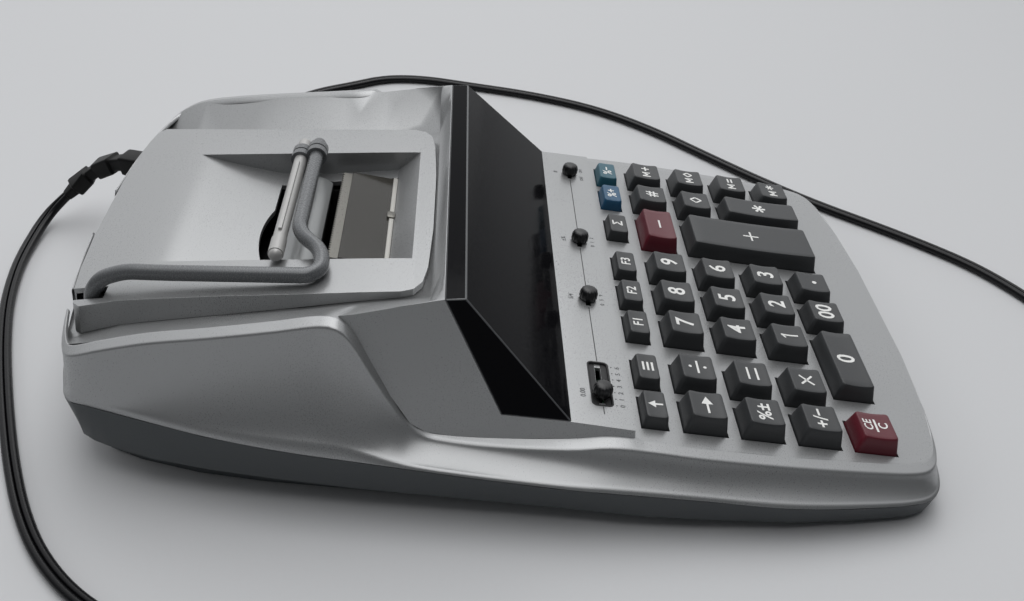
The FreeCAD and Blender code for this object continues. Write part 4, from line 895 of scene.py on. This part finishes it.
def keyMeasures(node):
    points = [toDeck(vertex.co) for vertex in nodes[node].data.vertices]
    rise = max(point.z for point in points)
    above = [point for point in points if point.z > keyShape["footFrom"]]
    crown = [point for point in points if point.z > rise - keyShape["crownDepth"]]
    (x, footX), (s, footS) = extent(above, 0), extent(above, 1)
    return {"x": x, "s": s, "footX": footX, "footS": footS, "rise": rise,
            "topX": extent(crown, 0)[1], "topS": extent(crown, 1)[1]}


def keyTopHeight(key, s):
    share = min(1.0, abs(s) / (key["topS"] / 2.0))
    depth = keyShape["dish"] * min(1.0, (key["topS"] / keyShape["dishLength"]) ** 2)
    return key["rise"] - depth * (1.0 - share * share)


def capRing(key, share, drop, inset):
    halfX = (key["footX"] + share * (key["topX"] - key["footX"])) / 2.0 - inset
    halfS = (key["footS"] + share * (key["topS"] - key["footS"])) / 2.0 - inset
    corner = max(keyShape["corner"] - inset * 0.5, keyShape["leastCorner"])
    return [fromDeck(key["x"] + u, key["s"] + v, keyTopHeight(key, v) * share - drop)
            for u, v in roundedLoop(halfX, halfS, corner)]


def makeKeyCap(node):
    key = keyMeasures(node)
    edge, inset = keyShape["edge"], keyShape["edge"] * keyShape["edgeInset"]
    skirt = [fromDeck(key["x"] + u, key["s"] + v, keyShape["skirt"])
             for u, v in roundedLoop(key["footX"] / 2, key["footS"] / 2, keyShape["corner"])]
    levels = [skirt] + [capRing(key, share, 0.0, 0.0) for share in (0.0, 0.5, 1.0 - edge / key["rise"])]
    for turn in keyShape["edgeTurns"]:
        angle = math.radians(turn)
        levels.append(capRing(key, 1.0, edge * (1.0 - math.sin(angle)), inset * (1.0 - math.cos(angle))))
    top = roundedLoop(key["topX"] / 2 - inset, key["topS"] / 2 - inset,
                      keyShape["corner"] * keyShape["topCorner"])
    for scale in keyShape["topRings"]:
        levels.append([fromDeck(key["x"] + u * scale, key["s"] + v * scale, keyTopHeight(key, v * scale))
                       for u, v in top])
    mesh = skinLoops(levels, node + "_cap", keyShape["sharpAngle"])
    newPiece(node + "_cap", mesh, node, slotOf[node], standsFor=(node,))
    return key


capitalShare = 0.72  # height of a capital as a share of the text size
fullBold = 0.018  # how much bold strokes grow, as a share of the text size


def textMesh(words, size, bold):
    data = bpy.data.curves.new("words", "FONT")
    data.body = words
    data.size = size
    data.align_x = "CENTER"
    data.align_y = "CENTER"
    data.extrude = keyShape["legendHalf"]
    data.offset = size * fullBold * bold
    data.resolution_u = 3
    carrier = addObject("words", data)
    mesh = bpy.data.meshes.new_from_object(carrier)
    bpy.data.objects.remove(carrier)
    bpy.data.curves.remove(data)
    return mesh


# signs drawn from bars, dots and a filled head, in shares of their height
drawnSigns = {
    "plus": {"bars": ((-0.5, 0.0, 0.5, 0.0), (0.0, -0.5, 0.0, 0.5))},
    "M": {"bars": ((-0.42, -0.5, -0.42, 0.5), (-0.42, 0.47, 0.0, -0.20),
                   (0.0, -0.20, 0.42, 0.47), (0.42, 0.5, 0.42, -0.5))},
    "one": {"bars": ((0.0, -0.5, 0.0, 0.5), (-0.24, 0.26, 0.03, 0.47))},
    "minus": {"bars": ((-0.5, 0.0, 0.5, 0.0),)},
    "equals": {"bars": ((-0.5, 0.25, 0.5, 0.25), (-0.5, -0.25, 0.5, -0.25))},
    "times": {"bars": ((-0.40, -0.40, 0.40, 0.40), (-0.40, 0.40, 0.40, -0.40))},
    "divide": {"bars": ((-0.5, 0.0, 0.5, 0.0),), "dots": ((0.0, 0.40, 0.09), (0.0, -0.40, 0.09))},
    "right": {"bars": ((-0.55, 0.0, 0.15, 0.0),), "head": ((0.05, 0.27), (0.05, -0.27), (0.55, 0.0))},
    "up": {"bars": ((0.0, -0.5, 0.0, 0.1),), "head": ((0.34, 0.0), (-0.34, 0.0), (0.0, 0.5))},
    "diamond": {"bars": ((0.0, 0.5, 0.42, 0.0), (0.42, 0.0, 0.0, -0.5),
                         (0.0, -0.5, -0.42, 0.0), (-0.42, 0.0, 0.0, 0.5))},
    "sheets": {"bars": ((-0.5, 0.36, 0.5, 0.36), (-0.5, 0.0, 0.5, 0.0), (-0.5, -0.36, 0.5, -0.36))},
}
signStroke = 0.00078

# node: marks as (words or sign, height, and how far right and up if not in the middle), in millimetres
legends = {
    "key_feed": (("up", 5.2),),
    "key_receipt": (("sheets", 4.6),),
    "key_cost": (("F1", 3.9),),
    "key_sell": (("F2", 3.9),),
    "key_margin": (("F3", 3.9),),
    "key_grand_total": (("Σ", 4.2),),
    "key_tax_plus": (("%+", 4.0),),
    "key_tax_minus": (("%−", 4.0),),
    "key_arrow": (("right", 7.6),),
    "key_divide": (("divide", 6.8),),
    "key_minus": (("minus", 6.0),),
    "key_subtotal": (("#", 5.4),),
    "key_memory_plus": (("M", 3.7, -2.6, 0.0), ("plus", 3.6, 2.6, 0.0)),
    "key_percent": (("%±", 5.0),),
    "key_equals": (("equals", 6.6),),
    "key_plus": (("plus", 6.9),),
    "key_total": (("diamond", 5.0),),
    "key_memory_diamond": (("M", 3.7, -2.6, 0.0), ("diamond", 4.0, 2.6, 0.0)),
    "key_sign": (("+/−", 5.0),),
    "key_times": (("times", 6.0),),
    "key_1": (("one", 6.8),),
    "key_star": (("*", 9.5, 0.0, -1.6),),
    "key_memory_equals": (("M", 3.7, -2.6, 0.0), ("equals", 3.4, 2.6, 0.0)),
    "key_clear": (("CE", 3.3, 0.2, 2.9), ("minus", 6.4, 0.0, 0.2), ("C", 3.3, 0.2, -2.7)),
    "key_0": (("0", 7.0),),
    "key_double_zero": (("00", 6.7),),
    "key_point": ((".", 9.0, 0.0, 2.4),),
    "key_memory_star": (("M", 3.7, -2.6, 0.0), ("*", 6.0, 2.7, -1.0)),
}
for digitName in "23456789":
    legends["key_" + digitName] = ((digitName, 6.9),)

def bar(x0, s0, x1, s1, width):
    run = Vector((x1 - x0, s1 - s0)).normalized() * (width / 2)
    return [(x0 - run.y, s0 + run.x), (x0 + run.y, s0 - run.x),
            (x1 + run.y, s1 - run.x), (x1 - run.y, s1 + run.x)]


def dot(x, s, radius, count=16):
    turns = [2.0 * math.pi * index / count for index in range(count)]
    return [(x + radius * math.cos(turn), s + radius * math.sin(turn)) for turn in turns]


# a thin plate from an outline, between two heights, moved by place if one is given
def addPlate(work, loop, low, high, place=None):
    place = place or (lambda x, s, n: Vector((x, s, n)))
    top = [work.verts.new(place(x, s, high)) for x, s in loop]
    bottom = [work.verts.new(place(x, s, low)) for x, s in loop]
    work.faces.new(top)
    work.faces.new(bottom[::-1])
    for i in range(len(loop)):
        j = (i + 1) % len(loop)
        work.faces.new((bottom[i], bottom[j], top[j], top[i]))


def addSign(work, sign, size, right, up):
    half = keyShape["legendHalf"]
    shape = drawnSigns[sign]
    outlines = [bar(*[value * size for value in ends], signStroke) for ends in shape["bars"]]
    outlines += [dot(*[value * size for value in spot]) for spot in shape.get("dots", ())]
    if "head" in shape:
        outlines.append([(x * size, y * size) for x, y in shape["head"]])
    for outline in outlines:
        addPlate(work, [(x + right, y + up) for x, y in outline], -half, half)


def addWords(work, words, size, right, up, bold):
    mesh = textMesh(words, size / capitalShare, bold)
    before = len(work.verts)
    work.from_mesh(mesh)
    work.verts.ensure_lookup_table()
    for vertex in work.verts[before:]:
        vertex.co.x += right
        vertex.co.y += up
    bpy.data.meshes.remove(mesh)


def makeLegend(node, key):
    work = bmesh.new()
    for words, height, *offset in legends[node]:
        right, up = offset or (0.0, 0.0)
        given = (work, words, height * 0.001, right * 0.001, up * 0.001)
        if words in drawnSigns:
            addSign(*given)
        else:
            addWords(*given, keyShape["legendBold"])
    # cut crosswise, so that the marks can follow the dish
    for level in keyShape["legendCuts"]:
        everything = work.verts[:] + work.edges[:] + work.faces[:]
        bmesh.ops.bisect_plane(work, geom=everything, plane_co=(0.0, level, 0.0), plane_no=(0.0, 1.0, 0.0))
    for vertex in work.verts:
        u, v, w = vertex.co
        height = keyTopHeight(key, v) + keyShape["legendLift"] + w - keyShape["legendHalf"]
        vertex.co = fromDeck(key["x"] + u, key["s"] + v, height)
    bmesh.ops.recalc_face_normals(work, faces=work.faces)
    mesh = finishMesh(work, node + "_legend")
    newPiece(node + "_legend", mesh, node, "legendWhite")


for nodeName in sorted(legends):
    makeLegend(nodeName, makeKeyCap(nodeName))
print("keys made:", len(legends))


# Slide knobs

knobShape = {
    "radius": 0.0035,
    "height": 0.0044,
    "crownDepth": 0.003,
    "points": 84,
    "ribs": 14,
    "ribDepth": 0.07,
    "ribbed": (0.05, 0.9),  # shares of the height with full ribs: outside them the ribs are faded
    "faded": 0.35,
    # width and height, as shares of the full ones
    "profile": ((0.86, 0.0), (1.0, 0.06), (1.0, 0.5), (0.95, 0.72),
                (0.82, 0.88), (0.6, 0.97), (0.3, 1.0), (0.08, 1.0)),
    "stem": (0.0015, 0.0007, 0.0003),  # half sizes and corner
    "stemEnds": (-0.004, 0.0005),  # heights from the foot of the cap
}


def makeKnobCap(node, settings):
    points = [toDeck(vertex.co) for vertex in nodes[node].data.vertices]
    crownTop = max(point.z for point in points)
    crown = [point for point in points if point.z > crownTop - settings["crownDepth"]]
    x, s = extent(crown, 0)[0], extent(crown, 1)[0]
    base = crownTop - settings["height"]
    low, high = settings["ribbed"]
    loops = []
    for width, height in settings["profile"]:
        depth = settings["ribDepth"] * (1.0 if low < height < high else settings["faded"])
        loop = []
        for step in range(settings["points"]):
            angle = 2.0 * math.pi * step / settings["points"]
            rib = 1.0 - depth * (0.5 - 0.5 * math.cos(settings["ribs"] * angle))
            radius = settings["radius"] * width * rib
            loop.append(fromDeck(x + radius * math.cos(angle), s + radius * math.sin(angle),
                                 base + height * settings["height"]))
        loops.append(loop)
    stem = [[fromDeck(x + u, s + v, base + rise) for u, v in roundedLoop(*settings["stem"], 2, 2)]
            for rise in settings["stemEnds"]]
    work = bmesh.new()
    for made in (skinLoops(loops), skinLoops(stem)):
        work.from_mesh(made)
        bpy.data.meshes.remove(made)
    newPiece(node + "_cap", finishMesh(work, node + "_cap"), node, slotOf[node], standsFor=(node,))


for nodeName in ("decimal_knob", "rounding_knob", "rate_knob", "print_knob"):
    makeKnobCap(nodeName, knobShape)
print("knobs made")


# Marks on the switch strip: engraved lines drawn as flat strips of painted shade, small digits, dots and
# signs

stripMarks = {
    "plateau": 0.0027,
    "lift": 0.00004,
    "lineWidth": 0.00032,
    # lines: x and s of the start, x and s of the end
    "lines": ((-0.0884, 0.0970, -0.0847, 0.0970), (-0.0603, 0.0970, -0.0275, 0.0970),
              (-0.0160, 0.0970, 0.0137, 0.0970), (0.0251, 0.0970, 0.0708, 0.0970)),
    "slot": (-0.0725, 0.0970, 0.0115, 0.0034),
    "slotDepth": 0.00074,
    # how far outside the slot the rim and the walls stand, and their corners
    "slotRim": (0.0005, 0.0019),
    "slotWall": (-0.00015, 0.0012),
    "slitHalf": 0.0011,
    "inkShare": 0.3,
    "bold": 0.5,
    # words, x, s, height of a capital
    "signs": (("0.00", -0.0783, 0.1035, 0.0019), ("5/4", -0.0218, 0.1035, 0.0019),
              ("±%", 0.0194, 0.1035, 0.0019), ("#", 0.0764, 0.1035, 0.0019),
              ("OFF", 0.0730, 0.0914, 0.0016), ("ON", 0.0800, 0.0914, 0.0016),
              ("0", 0.0164, 0.0914, 0.0016), ("1", 0.0194, 0.0914, 0.0016), ("2", 0.0224, 0.0914, 0.0016),
              ("0", -0.0248, 0.0914, 0.0016), ("5", -0.0218, 0.0914, 0.0016), ("9", -0.0188, 0.0914, 0.0016)),
    "decimals": "0123456",
    "decimalStart": -0.0834,
    "decimalPitch": 0.0034,
    "decimalS": 0.0900,
    "decimalSize": 0.0018,
    "dotS": 0.0922,
    "dotRadius": 0.00028,
}


# one thin piece from outlines on the strip, in the deck's frame
def flatMarks(name, outlines, finish):
    plateau, lift = stripMarks["plateau"], stripMarks["lift"]
    work = bmesh.new()
    for outline in outlines:
        addPlate(work, outline, plateau - lift, plateau + lift, fromDeck)
    bmesh.ops.recalc_face_normals(work, faces=work.faces)
    newPiece(name, finishMesh(work, name), "case", finish)


# the black lining of the long slot, painted shade for its depth: a rim, its walls, and a floor on each side
# of the stem's slit
def makeSlotLiner(settings):
    x, s, halfX, halfS = settings["slot"]
    plateau, lift = settings["plateau"], settings["lift"]
    floorLevel = plateau - settings["slotDepth"]
    rim, wall = settings["slotRim"], settings["slotWall"]
    rings = []
    for (grow, corner), n in ((rim, plateau - lift), (rim, plateau + lift),
                              (wall, plateau + lift), (wall, floorLevel)):
        rings.append([fromDeck(x + u, s + v, n)
                      for u, v in roundedLoop(halfX + grow, halfS + grow, corner, 6, 3)])
    work = bmesh.new()
    walls = skinLoops(rings, closeTop=False)
    work.from_mesh(walls)
    bpy.data.meshes.remove(walls)
    slit = settings["slitHalf"]
    for low, high in ((-halfS, -slit), (slit, halfS)):
        loop = [(x - halfX, s + low), (x + halfX, s + low), (x + halfX, s + high), (x - halfX, s + high)]
        addPlate(work, loop, floorLevel, floorLevel + 2 * lift, fromDeck)
    newPiece("slotLiner", finishMesh(work, "slotLiner"), "case", "grooveShadeBlack")


def makeStripMarks(settings):
    grooves = [bar(*ends, settings["lineWidth"]) for ends in settings["lines"]]
    # painted shade: the engraved lines are flat black strips laid on the strip, not cut into it
    flatMarks("stripGroove", grooves, "grooveShadeBlack")
    dots = []
    signs = list(settings["signs"])
    for index, digit in enumerate(settings["decimals"]):
        x = settings["decimalStart"] + index * settings["decimalPitch"]
        dots.append(dot(x, settings["dotS"], settings["dotRadius"]))
        signs.append((digit, x, settings["decimalS"], settings["decimalSize"]))
    flatMarks("stripDots", dots, "printGrey")
    work = bmesh.new()
    for words, x, s, capital in signs:
        addWords(work, words, capital, x, s, settings["bold"])
    for vertex in work.verts:
        u, v, w = vertex.co
        vertex.co = fromDeck(u, v, settings["plateau"] + w * settings["inkShare"])
    newPiece("stripSigns", finishMesh(work, "stripSigns"), "case", "printGrey")


makeSlotLiner(stripMarks)
makeStripMarks(stripMarks)
print("strip marked")

bpy.context.view_layer.update()
